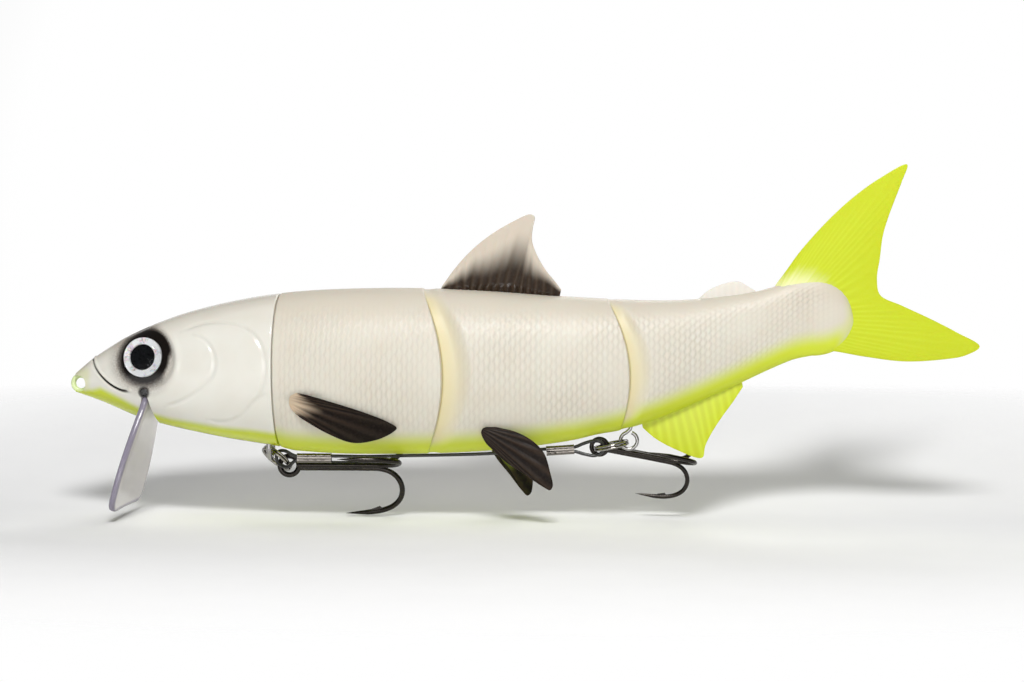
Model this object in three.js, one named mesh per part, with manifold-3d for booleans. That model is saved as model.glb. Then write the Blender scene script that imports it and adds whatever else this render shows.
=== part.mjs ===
// A hard-headed, soft-bodied swimbait with a diving lip, 250 mm long.
// Millimetres. +X runs from the nose to the tail, +Z is up, -Y is the fish's left side.
// The origin is the centre of the line-tie eye on the nose.
import * as THREE from "three";
import { mergeVertices } from "three/addons/utils/BufferGeometryUtils.js";
import Module from "manifold-3d";

const wasm = await Module();
wasm.setup();

// ---- Driving dimensions ----

const GAP = 0.3; // between pieces that touch on the real lure
const FLEX_LIMIT = THREE.MathUtils.degToRad(22); // how far each body joint bends

const HEAD_END = 56.3; // the seam between the hard head and the soft body
const SHELL_WALL = 2.2;
const BODY_END = 197.2; // the thin stalk, where the tail fin starts to wag
const TAIL_START = 199.0;

// Outlines of the body from the side and from above, as [x, value].
const BACK = [
  [-1.6, 2.6], [4, 7.2], [15, 13.8], [32, 20.3], [56, 25.1], [84, 26.6], [110, 26.1],
  [140, 24.1], [165, 23.4], [186, 25.6], [200, 31.5],
];
const BELLY = [
  [-1.6, -2.4], [6, -5.0], [18, -9.8], [38, -14.4], [56, -17.3], [61, -18.4], [80, -19.2], [112, -18.2],
  [140, -14.6], [158, -9.9], [176, -2.4], [200, 8.6],
];
const HALF_WIDTH = [
  [-1.6, 2.3], [4, 4.8], [15, 9.0], [32, 12.6], [56, 14.8], [80, 15.0], [103, 14.1],
  [130, 12.0], [155, 9.3], [178, 5.6], [200, 2.6],
];
const WIDEST_AT = 0.5; // height of the widest point, as a share of the section

// The two body joints: a vertical hinge axis inside a crescent groove.
const JOINT_1 = { x: 103, nose: 11.0, socket: 11.8, lip: 101.8, lipHeight: 4, ramp: [3.5, 8] };
const JOINT_2 = { x: 153.6, nose: 6.8, socket: 7.5, lip: 152.9, lipHeight: 2, ramp: [2.5, 4.5] };
const LIP_ARC = 44; // radius of the crescent's edge, seen from the side

const PIN_RADIUS = 1.0;
const BORE_RADIUS = 1.12;
const KNUCKLE_RADIUS = 3.0;
const LINK_THICKNESS = 3.0;

const HOOK_WIRE = 1.5; // front treble
const REAR_HOOK_SCALE = 0.826;
const RING_RADIUS = 4.5; // split ring, to the middle of its wire
const LEADER_WIRE = 0.93;

// ---- Helpers ----

/** A smooth curve through [x, value] points, read at x. */
function profile(points) {
  const slope = points.map((_, i) => {
    const a = points[Math.max(i - 1, 0)];
    const b = points[Math.min(i + 1, points.length - 1)];
    return (b[1] - a[1]) / (b[0] - a[0]);
  });
  return (x) => {
    let i = 0;
    while (i < points.length - 2 && x > points[i + 1][0]) i += 1;
    const [x0, y0] = points[i];
    const [x1, y1] = points[i + 1];
    const h = x1 - x0;
    const t = THREE.MathUtils.clamp((x - x0) / h, 0, 1);
    const rise = t * t * (3 - 2 * t);
    const start = t * (1 - t) * (1 - t) * h * slope[i];
    const end = t * t * (t - 1) * h * slope[i + 1];
    return y0 + (y1 - y0) * rise + start + end;
  };
}

const back = profile(BACK);
const belly = profile(BELLY);
const halfWidth = profile(HALF_WIDTH);

/** A closed three.js geometry as a manifold-3d solid. */
function solid(geometry) {
  const bare = geometry.index ? geometry.toNonIndexed() : geometry.clone();
  bare.deleteAttribute("normal");
  bare.deleteAttribute("uv");
  const merged = mergeVertices(bare, 1e-4);
  return new wasm.Manifold(
    new wasm.Mesh({
      numProp: 3,
      vertProperties: new Float32Array(merged.attributes.position.array),
      triVerts: new Uint32Array(merged.index.array),
    }),
  );
}

/** A manifold-3d solid as a three.js geometry. */
function geometryOf(shape) {
  const mesh = shape.getMesh();
  const geometry = new THREE.BufferGeometry();
  geometry.setAttribute("position", new THREE.BufferAttribute(mesh.vertProperties, 3));
  geometry.setIndex(new THREE.BufferAttribute(mesh.triVerts, 1));
  geometry.computeVertexNormals();
  return geometry;
}

function union(...shapes) {
  return shapes.reduce((a, b) => a.add(b));
}

/** A closed skin over rings of equal point counts, capped flat at both ends. */
function loft(rings) {
  const sides = rings[0].length;
  const points = rings.flat();
  const triangles = [];
  for (let r = 0; r < rings.length - 1; r += 1) {
    for (let k = 0; k < sides; k += 1) {
      const a = r * sides + k;
      const b = r * sides + ((k + 1) % sides);
      triangles.push(a, a + sides, b, b, a + sides, b + sides);
    }
  }
  for (const [ring, first] of [[rings[0], 0], [rings.at(-1), (rings.length - 1) * sides]]) {
    const middle = new THREE.Vector3();
    ring.forEach((p) => middle.addScaledVector(p, 1 / sides));
    const centre = points.push(middle) - 1;
    for (let k = 0; k < sides; k += 1) {
      const next = first + ((k + 1) % sides);
      triangles.push(...(first ? [centre, next, first + k] : [centre, first + k, next]));
    }
  }
  const geometry = new THREE.BufferGeometry().setFromPoints(points);
  geometry.setIndex(triangles);
  return geometry;
}

/** One cross-section of the body at x, grown outwards by grow, with w as its half width. */
function section(x, sides, grow = 0, w = halfWidth(x)) {
  const top = back(x) + grow;
  const bottom = belly(x) - grow;
  const waist = bottom + (top - bottom) * WIDEST_AT;
  return Array.from({ length: sides }, (_, k) => {
    const turn = (2 * Math.PI * k) / sides;
    const across = Math.sin(turn);
    const up = Math.cos(turn);
    return new THREE.Vector3(
      x,
      (w + grow) * Math.sign(across) * Math.abs(across) ** 0.95,
      waist + (up > 0 ? top - waist : waist - bottom) * up,
    );
  });
}

/** The body between two stations, grown by grow. */
function bodyLoft(xs, sides, grow = 0, width = halfWidth) {
  return solid(loft(xs.map((x) => section(x, sides, grow, width(x)))));
}

function steps(from, to, count) {
  return Array.from({ length: count + 1 }, (_, i) => from + ((to - from) * i) / count);
}

/** A box between two corners. */
function box(x0, x1, y0, y1, z0, z1) {
  const geometry = new THREE.BoxGeometry(x1 - x0, y1 - y0, z1 - z0);
  return solid(geometry.translate((x0 + x1) / 2, (y0 + y1) / 2, (z0 + z1) / 2));
}

/** An upright cylinder about (x, 0). */
function upright(x, radius, z0, z1, sides = 24) {
  const geometry = new THREE.CylinderGeometry(radius, radius, z1 - z0, sides);
  return solid(geometry.rotateX(Math.PI / 2).translate(x, 0, (z0 + z1) / 2));
}

/** A cylinder across the body, about (x, z). */
function crosswise(x, z, radius, y0, y1, sides = 24) {
  const geometry = new THREE.CylinderGeometry(radius, radius, y1 - y0, sides);
  return solid(geometry.translate(x, (y0 + y1) / 2, z));
}

/** A side-view outline in x and z, extruded across y from y0 to y1. */
function sidePlate(outline, y0, y1) {
  const shape = new THREE.Shape(outline.map(([x, z]) => new THREE.Vector2(x, z)));
  const geometry = new THREE.ExtrudeGeometry(shape, { depth: y1 - y0, bevelEnabled: false });
  return solid(geometry.rotateX(Math.PI / 2).translate(0, y1, 0));
}

/** The points of a smooth outline through [x, z] corners. */
function smooth(corners, count, closed = false) {
  const curve = new THREE.CatmullRomCurve3(
    corners.map(([x, z]) => new THREE.Vector3(x, 0, z)),
    closed,
    "centripetal",
  );
  const points = curve.getPoints(count);
  if (closed) points.pop();
  return points.map((p) => [p.x, p.z]);
}

const WIRE_SIDES = 8;

/** A round wire along points. */
function wire(points, diameter, count) {
  const path = new THREE.CatmullRomCurve3(
    points.map((p) => new THREE.Vector3(...p)),
    false,
    "centripetal",
  );
  const round = new THREE.Shape().absarc(0, 0, diameter / 2, 0, 2 * Math.PI);
  const geometry = new THREE.ExtrudeGeometry(round, {
    steps: count,
    curveSegments: WIRE_SIDES / 2,
    bevelEnabled: false,
    extrudePath: path,
  });
  return solid(geometry);
}

/** A ring about the origin whose axis is Y, from a section given as [radius, y] corners. */
function lathedRing(corners, sides) {
  const closed = [...corners, corners[0]].map(([r, y]) => new THREE.Vector2(r, y));
  return new THREE.LatheGeometry(closed, sides);
}

/** The corners of a bevelled rectangle: radial size by height, about a mean radius. */
function bevelled(radius, radial, height, bevel) {
  const r = radial / 2;
  const h = height / 2;
  return [
    [radius + r, -h + bevel], [radius + r, h - bevel], [radius + r - bevel, h],
    [radius - r + bevel, h], [radius - r, h - bevel], [radius - r, -h + bevel],
    [radius - r + bevel, -h], [radius + r - bevel, -h],
  ];
}

// ---- Materials ----

function finish(color, roughness, metalness = 0, opacity = 1) {
  const transparent = opacity < 1;
  return new THREE.MeshStandardMaterial({ color, roughness, metalness, opacity, transparent });
}

const PEARL = finish(0xeeeae2, 0.25);
const SOFT = finish(0xe2dccb, 0.45);
const CHARTREUSE = finish(0xd0e83a, 0.45);
const DARK_FIN = finish(0x2a231c, 0.5);
const CREAM_FIN = finish(0xe9e2cc, 0.4, 0, 0.85);
const CLEAR = finish(0xf2f5f5, 0.05, 0, 0.35);
const FOIL = finish(0xc9cfd2, 0.2, 0.8);
const STEEL = finish(0xb9bbbd, 0.25, 1);
const BLACK_NICKEL = finish(0x3a3735, 0.3, 1);
const COATED = finish(0x16150f, 0.4);
const LEAD = finish(0x6d7075, 0.6, 0.7);
const NYLON = finish(0x8f9296, 0.5);

const group = new THREE.Group();

function add(name, shape, material) {
  const mesh = new THREE.Mesh(geometryOf(shape), material);
  mesh.name = name;
  group.add(mesh);
}

// ---- Through wire: the line-tie eye, a run inside the head, the belly hanger ----

const HANGER = { x: 53.4, bend: 2.65, low: -18.0, high: -12.5, wire: 1.5 };
const LINE_TIE = { radius: 2.15, radial: 1.4, thickness: 1.5, bevel: 0.35 };
const THROUGH_RUN = [
  [2.5, 0, 0.0], [9, 0, 1.6], [18, 0, 3.8], [30, 0, 3.2], [40, 0, 0], [47, 0, -6.5], [51, 0, -11],
  [53.4, 0, -12.6],
];
const RUN_WIRE = 1.3;
const RUN_STEPS = 20;
const HANGER_STEPS = 20;

function hangerLoop(diameter) {
  const { x, bend, low, high } = HANGER;
  const arc = steps(0, Math.PI, 8).map((a) => [x, -bend * Math.cos(a), low - bend * Math.sin(a)]);
  return wire([[x, -bend, high], [x, -bend, (high + low) / 2], ...arc, [x, bend, (high + low) / 2],
    [x, bend, high]], diameter, HANGER_STEPS);
}

function throughWire() {
  const { radius, radial, thickness, bevel } = LINE_TIE;
  const eye = solid(lathedRing(bevelled(radius, radial, thickness, bevel), 24));
  const { x, bend, high, wire: diameter } = HANGER;
  const bar = box(x - 1.1, x + 0.3, -bend - 0.6, bend + 0.6, high - 0.6, high + 0.9);
  return union(eye, wire(THROUGH_RUN, RUN_WIRE, RUN_STEPS), hangerLoop(diameter), bar);
}

// ---- Head: two moulded shells, glued along the middle ----

// The V slot under the chin that holds the lip, and the walls round it inside the head.
const NOTCH = [[20.3, -1.4], [19.3, -2.2], [16.1, -14], [24.0, -14], [21.2, -2.2]];
const NOTCH_WALL = [[18.0, 1.2], [12.6, -16], [27.2, -16], [22.6, 1.2]];
const EYE = { x: 20.1, z: 7.6, y: 8.35, radius: 5.45, pitch: 0.16, yaw: 0.14 };
const NOSE_SEAT = LINE_TIE.radius + LINE_TIE.radial / 2 + GAP; // the hollow round the line-tie eye
const PLUG = { flange: 8.4, neck: 6.0, barb: 7.3, from: 50.6, to: 72 };

/** Turns a solid that looks along +Y so that it sits on one cheek as an eye. side is -1 or 1. */
function onCheek(geometry, side) {
  const m = new THREE.Matrix4();
  m.makeRotationFromEuler(new THREE.Euler(EYE.pitch, 0, EYE.yaw, "ZXY"));
  geometry.applyMatrix4(m);
  geometry.translate(EYE.x, EYE.y, EYE.z);
  const made = solid(geometry);
  return side > 0 ? made : made.mirror([0, 1, 0]);
}

function eyeCylinder(radius, y0, y1, side) {
  const geometry = new THREE.CylinderGeometry(radius, radius, y1 - y0, 24);
  return onCheek(geometry.translate(0, (y0 + y1) / 2, 0), side);
}

function headCavity() {
  const xs = [7, 11, 16, 22, 30, 40, 48, HEAD_END - SHELL_WALL];
  const inner = bodyLoft(xs, 24, -SHELL_WALL);
  const walls = union(
    sidePlate(NOTCH_WALL, -20, 20),
    eyeCylinder(7.2, -6, 4, -1),
    eyeCylinder(7.2, -6, 4, 1),
  );
  return inner.subtract(walls);
}

function headShells() {
  const xs = [-1.2, 0, 2.5, 6, 10, 15, 21, 28, 36, 45, HEAD_END];
  const nose = crosswise(0, 0, NOSE_SEAT, -20, 20, 32);
  const plugHole = solid(
    new THREE.CylinderGeometry(PLUG.neck + GAP, PLUG.neck + GAP, 8, 24).rotateZ(Math.PI / 2)
      .translate(HEAD_END, 0, COUPLING.z),
  );
  const whole = bodyLoft(xs, 32)
    .subtract(headCavity())
    .subtract(sidePlate(NOTCH, -20, 20))
    .subtract(nose)
    .subtract(plugHole)
    .subtract(wire(THROUGH_RUN, RUN_WIRE + 2 * GAP, RUN_STEPS))
    .subtract(hangerLoop(HANGER.wire + 2 * GAP))
    .subtract(eyeCylinder(EYE.radius + GAP, 0, 6, -1))
    .subtract(eyeCylinder(EYE.radius + GAP, 0, 6, 1));
  const seam = 0.05;
  add("head_shell_left", whole.intersect(box(-5, 60, -20, -seam, -30, 40)), PEARL);
  add("head_shell_right", whole.intersect(box(-5, 60, seam, 20, -30, 40)), PEARL);
}

function eyes() {
  for (const [side, word] of [[-1, "left"], [1, "right"]]) {
    const iris = eyeCylinder(EYE.radius, GAP, 1.1, side);
    const r = EYE.radius - 0.1;
    const rise = 1.9;
    const bulge = steps(0, Math.PI / 2, 4).map(
      (a) => new THREE.Vector2(r * Math.cos(a), 1.5 + rise * Math.sin(a)),
    );
    bulge[bulge.length - 1].x = 0;
    const cap = [new THREE.Vector2(0, 1.2), new THREE.Vector2(r, 1.2), ...bulge];
    add(`eye_iris_${word}`, iris, FOIL);
    add(`eye_dome_${word}`, onCheek(new THREE.LatheGeometry(cap, 24), side), CLEAR);
  }
}

// ---- Diving lip: a clear plate, widest near its foot, seated in the notch ----

const LIP = { top: [20.25, -3.4], thickness: 2.2, length: 32.2, tilt: 0.265, neck: 9.0, foot: 16.0 };

function divingLip() {
  const { neck, foot, length } = LIP;
  const outline = new THREE.Shape();
  outline.moveTo(-neck + 3, 0);
  outline.lineTo(neck - 3, 0);
  outline.quadraticCurveTo(neck, 0, neck, -4);
  outline.bezierCurveTo(neck + 2.5, -11, foot, -17, foot, -length + 6);
  outline.bezierCurveTo(foot, -length + 2, foot - 2, -length, foot - 6, -length);
  outline.lineTo(-foot + 6, -length);
  outline.bezierCurveTo(-foot + 2, -length, -foot, -length + 2, -foot, -length + 6);
  outline.bezierCurveTo(-foot, -17, -neck - 2.5, -11, -neck, -4);
  outline.quadraticCurveTo(-neck, 0, -neck + 3, 0);
  const geometry = new THREE.ExtrudeGeometry(outline, {
    depth: LIP.thickness - 0.5,
    bevelThickness: 0.25,
    bevelSize: 0.25,
    bevelOffset: -0.25,
    bevelSegments: 1,
    curveSegments: 8,
  });
  geometry.translate(0, 0, -(LIP.thickness - 0.5) / 2);
  geometry.rotateX(Math.PI / 2).rotateZ(Math.PI / 2).rotateY(LIP.tilt);
  return solid(geometry.translate(LIP.top[0], 0, LIP.top[1]));
}

// ---- Inside the head ----

function ballast() {
  const geometry = new THREE.SphereGeometry(1, 18, 10).scale(10.5, 6.2, 3.8);
  return solid(geometry.rotateY(0.13).translate(36, 0, -7.4));
}

function couplingPlug() {
  const { flange, neck, barb, from, to } = PLUG;
  const wall = HEAD_END - SHELL_WALL - GAP;
  const outline = [
    [0, from], [flange, from], [flange, wall], [neck, wall], [neck, HEAD_END + 2],
    [barb, HEAD_END + 2.6], [neck, HEAD_END + 6.5], [barb, HEAD_END + 7.1], [neck, to], [0, to],
  ].map(([r, x]) => new THREE.Vector2(r, x));
  const geometry = new THREE.LatheGeometry(outline, 28).rotateZ(-Math.PI / 2);
  geometry.translate(0, 0, COUPLING.z);
  const slot = LINK_HALF + GAP;
  return solid(geometry)
    .subtract(box(61.7, to + 1, -slot, slot, -10, 14))
    .subtract(crosswise(COUPLING.x, COUPLING.z, BORE_RADIUS, -12, 12, 16))
    .subtract(hangerLoop(HANGER.wire + 2 * GAP));
}

// ---- Spine: three flat links on two upright pins ----

const SPINE_1 = { z: 3 }; // middle height of the knuckle
const SPINE_2 = { z: 5 };
const KNUCKLE_HEIGHT = 5;
const EAR_HEIGHT = 2.5;
const EAR_REACH = KNUCKLE_HEIGHT / 2 + GAP + EAR_HEIGHT;
const LINK_HALF = LINK_THICKNESS / 2;
const COUPLING = { x: 66, z: 2 }; // the pin that holds the spine in the plug

/** The link's half that carries the middle knuckle, ending on the joint's axis. */
function tongue(plate, joint, spine) {
  const h = KNUCKLE_HEIGHT / 2;
  const neck = box(joint.x - joint.nose - 2, joint.x, -LINK_HALF, LINK_HALF, spine.z - h, spine.z + h);
  const knuckle = upright(joint.x, KNUCKLE_RADIUS, spine.z - h, spine.z + h);
  return union(plate, neck, knuckle).subtract(
    upright(joint.x, BORE_RADIUS, spine.z - 20, spine.z + 20),
  );
}

/** The two ears that hold the pin above and below the middle knuckle. */
function ears(joint, spine) {
  const inner = KNUCKLE_HEIGHT / 2 + GAP;
  const outer = EAR_REACH;
  const made = [];
  for (const [low, high] of [[inner, outer], [-outer, -inner]]) {
    made.push(upright(joint.x, KNUCKLE_RADIUS, spine.z + low, spine.z + high));
    made.push(box(joint.x, joint.x + 8, -LINK_HALF, LINK_HALF, spine.z + low, spine.z + high));
  }
  return union(...made).subtract(upright(joint.x, BORE_RADIUS, spine.z - 20, spine.z + 20));
}

function frontLink() {
  const outline = [[63, -2.5], [70, -3], [84, -3], [90.5, 0.5], [90.5, 5.5], [84, 9], [70, 8], [63, 6.5]];
  const bore = crosswise(COUPLING.x, COUPLING.z, BORE_RADIUS, -12, 12, 16);
  return tongue(sidePlate(outline, -LINK_HALF, LINK_HALF), JOINT_1, SPINE_1).subtract(bore);
}

function middleLink() {
  const z = SPINE_1.z;
  const plate = sidePlate(
    [[109, z - EAR_REACH], [124, -2], [136, 0], [145.6, 2.5], [145.6, 7.5], [136, 10], [124, 9.5],
      [109, z + EAR_REACH]],
    -LINK_HALF, LINK_HALF);
  return union(tongue(plate, JOINT_2, SPINE_2), ears(JOINT_1, SPINE_1));
}

function tailLink() {
  const z = SPINE_2.z;
  const plate = sidePlate(
    [[159.6, z - EAR_REACH], [172, 3], [186, 11], [191, 14.5], [191, 18.5], [184, 17.5], [172, 13],
      [159.6, z + EAR_REACH]],
    -LINK_HALF / 2, LINK_HALF / 2);
  return union(plate, ears(JOINT_2, SPINE_2));
}

/** A pin with a small head on top. */
function hingePin(joint, low, high) {
  return union(
    upright(joint.x, PIN_RADIUS, low, high, 20),
    upright(joint.x, 1.9, high - 0.01, high + 1, 20),
  );
}

const REAR_EYE = { x: 152.6, z: -15.1, radius: 2.3, wire: 1.0 };

function rearHingePin() {
  const { x, z, radius, wire: diameter } = REAR_EYE;
  const torus = new THREE.TorusGeometry(radius, diameter / 2, 8, 24);
  torus.rotateX(Math.PI / 2).translate(x, 0, z);
  const top = SPINE_2.z + EAR_REACH + GAP;
  return union(hingePin(JOINT_2, z + radius * 0.9, top), solid(torus));
}

// ---- Soft body ----

/** The material that a nose keeps: all behind the hinge axis, and a round nose before it. */
function roundNose(joint) {
  const ahead = box(joint.x - 30, joint.x, -30, 30, -60, 70);
  return ahead.subtract(upright(joint.x, joint.nose, -61, 71, 32));
}

/** The body's half width behind a joint, pinched so that it turns under the lip ahead of it. */
function pinched(joint) {
  const [from, to] = joint.ramp;
  return (x) => {
    const d = x - joint.x;
    const full = halfWidth(x);
    if (d >= to) return full;
    const bare = Math.sqrt(Math.max(joint.nose ** 2 - Math.max(d, 0) ** 2, 0));
    if (d <= from) return Math.min(full, bare);
    const start = Math.sqrt(joint.nose ** 2 - from ** 2);
    return start + ((full - start) * (d - from)) / (to - from);
  };
}

/** What a segment loses at its rear joint: the round socket, and all behind the crescent lip. */
function socketCut(joint) {
  const { x, socket, lip, lipHeight } = joint;
  const behind = box(lip - 30, x + 30, -30, 30, -60, 70);
  const kept = crosswise(lip - LIP_ARC, lipHeight, LIP_ARC, -31, 31, 48);
  return union(upright(x, socket, -61, 71, 32), behind.subtract(kept));
}

/** Room for the front knuckle's neck to swing inside the segment behind it. */
function swingRoom(joint, spine) {
  const reach = joint.nose + 2;
  const wide = LINK_HALF / Math.cos(FLEX_LIMIT) + GAP;
  const spread = wide + reach * Math.tan(FLEX_LIMIT + 0.03);
  const h = KNUCKLE_HEIGHT / 2 + GAP;
  const shape = new THREE.Shape([
    new THREE.Vector2(joint.x, -wide), new THREE.Vector2(joint.x, wide),
    new THREE.Vector2(joint.x - reach, spread), new THREE.Vector2(joint.x - reach, -spread),
  ]);
  const wedge = new THREE.ExtrudeGeometry(shape, { depth: 2 * h, bevelEnabled: false });
  return solid(wedge.translate(0, 0, spine.z - h));
}

/** Room for the ears, the pin and the flat of a link. */
function linkRoom(joint, spine, outline, half) {
  const tall = EAR_REACH + GAP;
  const slot = half + GAP;
  return union(
    upright(joint.x, KNUCKLE_RADIUS + GAP, spine.z - tall, spine.z + tall + 1.5),
    box(joint.x, joint.x + 8, -LINK_HALF - GAP, LINK_HALF + GAP, spine.z - tall, spine.z + tall),
    sidePlate(outline, -slot, slot),
  );
}

function frontBody() {
  const plugRoom = solid(
    new THREE.CylinderGeometry(PLUG.barb + GAP, PLUG.barb + GAP, 20, 28).rotateZ(Math.PI / 2)
      .translate(PLUG.to + GAP - 10, 0, COUPLING.z),
  );
  return bodyLoft([HEAD_END + 0.15, 62, 70, 78, 86, 94, 102.5], 32)
    .subtract(socketCut(JOINT_1))
    .subtract(plugRoom)
    .subtract(box(60, 96, -LINK_HALF - GAP, LINK_HALF + GAP, -3.4, 9.4));
}

function middleBody() {
  const { x, nose, ramp } = JOINT_1;
  const stations = [
    ...steps(x - nose - 1, x, 3), x + ramp[0] / 2, x + ramp[0], x + (ramp[0] + ramp[1]) / 2,
    x + ramp[1], 118, 125, 133, 141, 148, JOINT_2.lip + 1,
  ];
  const slot = [
    [108, -3.4], [124, -2.4], [136, -0.4], [148, 1.8], [148, 8.2], [136, 10.4], [124, 9.9], [108, 9.4],
  ];
  return bodyLoft(stations, 32, 0, pinched(JOINT_1))
    .subtract(roundNose(JOINT_1))
    .subtract(socketCut(JOINT_2))
    .subtract(swingRoom(JOINT_1, SPINE_1))
    .subtract(linkRoom(JOINT_1, SPINE_1, slot, LINK_HALF));
}

function tailBody() {
  const { x, nose, ramp } = JOINT_2;
  const stations = [
    ...steps(x - nose - 0.6, x, 3), x + ramp[0], x + ramp[1], 164, 172, 180, 187, 193, BODY_END,
  ];
  const slot = [
    [158, -0.6], [172, 2.6], [186, 10.6], [191.4, 14.2], [191.4, 18.9], [184, 17.9], [172, 13.4],
    [158, 10.6],
  ];
  const eyeRoom = REAR_EYE.radius + REAR_EYE.wire + GAP;
  return bodyLoft(stations, 28, 0, pinched(JOINT_2))
    .subtract(roundNose(JOINT_2))
    .subtract(swingRoom(JOINT_2, SPINE_2))
    .subtract(upright(x, BORE_RADIUS + 0.1, -20, SPINE_2.z))
    .subtract(upright(x, eyeRoom, -20, REAR_EYE.z + 2 * REAR_EYE.radius))
    .subtract(linkRoom(JOINT_2, SPINE_2, slot, LINK_HALF / 2));
}

// ---- Fins ----

function dorsalFin() {
  const base = steps(132, 102, 8).map((x) => [x, back(x) + GAP]);
  const edge = smooth([[102, 26.9], [105.5, 32.5], [114.5, 41.2], [125.2, 46.8]], 8);
  const trail = smooth([[126.6, 46.0], [125.6, 39.5], [129.0, 32.5], [134.6, 26.6]], 6);
  return sidePlate([...edge, ...trail, ...base.slice(0, -1)], -1.1, 1.1);
}

function adiposeFin() {
  const base = steps(185.5, 171.5, 5).map((x) => [x, back(x) + GAP]);
  return sidePlate([...smooth([[173, 25], [180.5, 28.6], [186.5, 27.0]], 6), ...base], -0.8, 0.8);
}

function analFin() {
  const base = steps(182, 156.6, 8).map((x) => [x, belly(x) - GAP]);
  const edge = smooth([[157.5, -13.0], [165, -17.4], [172.1, -20.0]], 5);
  const trail = smooth([[173.5, -18.5], [176.5, -11.5], [183.5, -0.6]], 6);
  return sidePlate([...base, ...edge, ...trail].reverse(), -0.8, 0.8);
}

/** A paired fin that lies against the flank. */
function pectoralFin(side) {
  const corners = [
    [61.2, -1.5], [65.6, -1.6], [73.6, -4.4], [83.6, -7.6], [90.2, -10.9], [84.6, -13.6],
    [77.6, -15.2], [68.6, -11.5], [62.1, -6.0],
  ];
  const outline = smooth(corners, 22, true);
  const xs = steps(59, 93, 5);
  const layer = bodyLoft(xs, 40, 1.05).subtract(bodyLoft(xs, 40, 0.2));
  const reach = side < 0 ? [-22, -3] : [3, 22];
  return layer.intersect(sidePlate(outline.reverse(), ...reach));
}

/** A paired belly fin: a flat blade, splayed outwards and swept down in degrees, moved ahead in mm. */
function pelvicFin(side, splay, sweep, ahead) {
  const corners = [
    [113.2, -10.9], [118, -10.3], [124.1, -12.9], [129.6, -16.5], [132.3, -27.4], [128.2, -25.5],
    [119.5, -20.0], [114.0, -14.6],
  ];
  const blade = sidePlate(smooth(corners, 20, true).reverse(), -0.7, 0.7);
  const [x, y, z] = [114, side * 11.2, -12];
  const turned = blade.translate([-x, 0, -z]).rotate([0, sweep, 0]).rotate([side * splay, 0, 0]);
  return turned.translate([x - ahead, y, z]);
}

function tailFin() {
  const outline = [
    [TAIL_START, 9.2], [TAIL_START, 31.5],
    ...smooth([[202.3, 39.8], [213.3, 50.8], [228.4, 60.2]], 8),
    ...smooth([[228.8, 59.0], [225.1, 50.8], [221.5, 41.2], [219.8, 31], [220.8, 24.5]], 8).slice(1),
    ...smooth([[233.9, 18.6], [247.1, 11.2]], 4),
    ...smooth([[246.2, 9.8], [238, 7.6], [227, 7.0], [214, 8.0], [205, 9.6]], 8),
  ];
  const web = sidePlate(outline.reverse(), -0.9, 0.9);
  const root = loft(steps(TAIL_START, 212, 5).map((x, i) => {
    const share = i / 5;
    const middle = 19.9 - share * 0.5;
    return Array.from({ length: 16 }, (_, k) => {
      const turn = (2 * Math.PI * k) / 16;
      const tall = 9.5 - 5 * share;
      const wide = 2.4 - 1.3 * share;
      return new THREE.Vector3(x, wide * Math.sin(turn), middle + tall * Math.cos(turn));
    });
  }));
  return union(web, solid(root));
}

// ---- Hooks, rings and leader ----

/** One arm of a treble from its eye, as [along the shank, out from it] for a hook of unit scale. */
const ARM = [
  [2.2, 0.72], [10, 0.72], [20, 0.74], [25.8, 0.95], [28.7, 2.1], [30.6, 4.2], [31.4, 7.0], [30.8, 9.8],
  [28.9, 12.0], [25.6, 13.5], [21.7, 14.1], [18.5, 14.3],
];
const HOOK_EYE = 2.65;

/** A treble whose eye centre is the origin and whose shank runs along +X; angles from +Y to +Z. */
function treble(scale, angles) {
  const eye = new THREE.TorusGeometry(HOOK_EYE * scale, (HOOK_WIRE * scale) / 2, 6, 20);
  const arms = angles.map((degrees) => {
    const a = THREE.MathUtils.degToRad(degrees);
    const path = ARM.map(([s, r]) => [s * scale, r * scale * Math.cos(a), r * scale * Math.sin(a)]);
    const [s, r] = ARM.at(-1);
    const point = new THREE.ConeGeometry((HOOK_WIRE * scale) / 2, 3.4 * scale, 8);
    point.rotateZ(Math.PI / 2).translate((s - 1.65) * scale, r * scale, 0).rotateX(a);
    return wire(path, HOOK_WIRE * scale, 18).add(solid(point));
  });
  const collar = new THREE.CylinderGeometry(1.15 * scale, 1.15 * scale, 17 * scale, 10);
  collar.rotateZ(Math.PI / 2).translate(11.2 * scale, 0, 0);
  return union(solid(eye.rotateX(Math.PI / 2)), solid(collar), ...arms);
}

// dip turns the hook down towards its bends, and out turns it away from the fish's left side.
const FRONT_HOOK = { at: [58.0, 3.2, -23.0], dip: 0, out: 1.5, arms: [167, 47, -73] };
const REAR_HOOK = { at: [144.5, 2.6, -17.1], dip: 11, out: 5, arms: [170, 50, -70] };

function placedTreble({ at, dip, out, arms }, scale) {
  return treble(scale, arms).rotate([0, dip, out]).translate(at);
}

/** A split ring about centre, whose axis is the given direction. */
function splitRing(centre, axis) {
  const geometry = lathedRing(bevelled(RING_RADIUS, 0.85, 1.45, 0.2), 28);
  const turn = new THREE.Quaternion().setFromUnitVectors(
    new THREE.Vector3(0, 1, 0),
    new THREE.Vector3(...axis).normalize(),
  );
  return solid(geometry.applyQuaternion(turn).translate(...centre));
}

const FRONT_RING = { centre: [54.5, 3.4, -21.0], axis: [0.528, 0.44, 0.726] };
const REAR_RING = { centre: [147.8, 0, -16.45], axis: [-0.208, 0, 0.978] };

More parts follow.
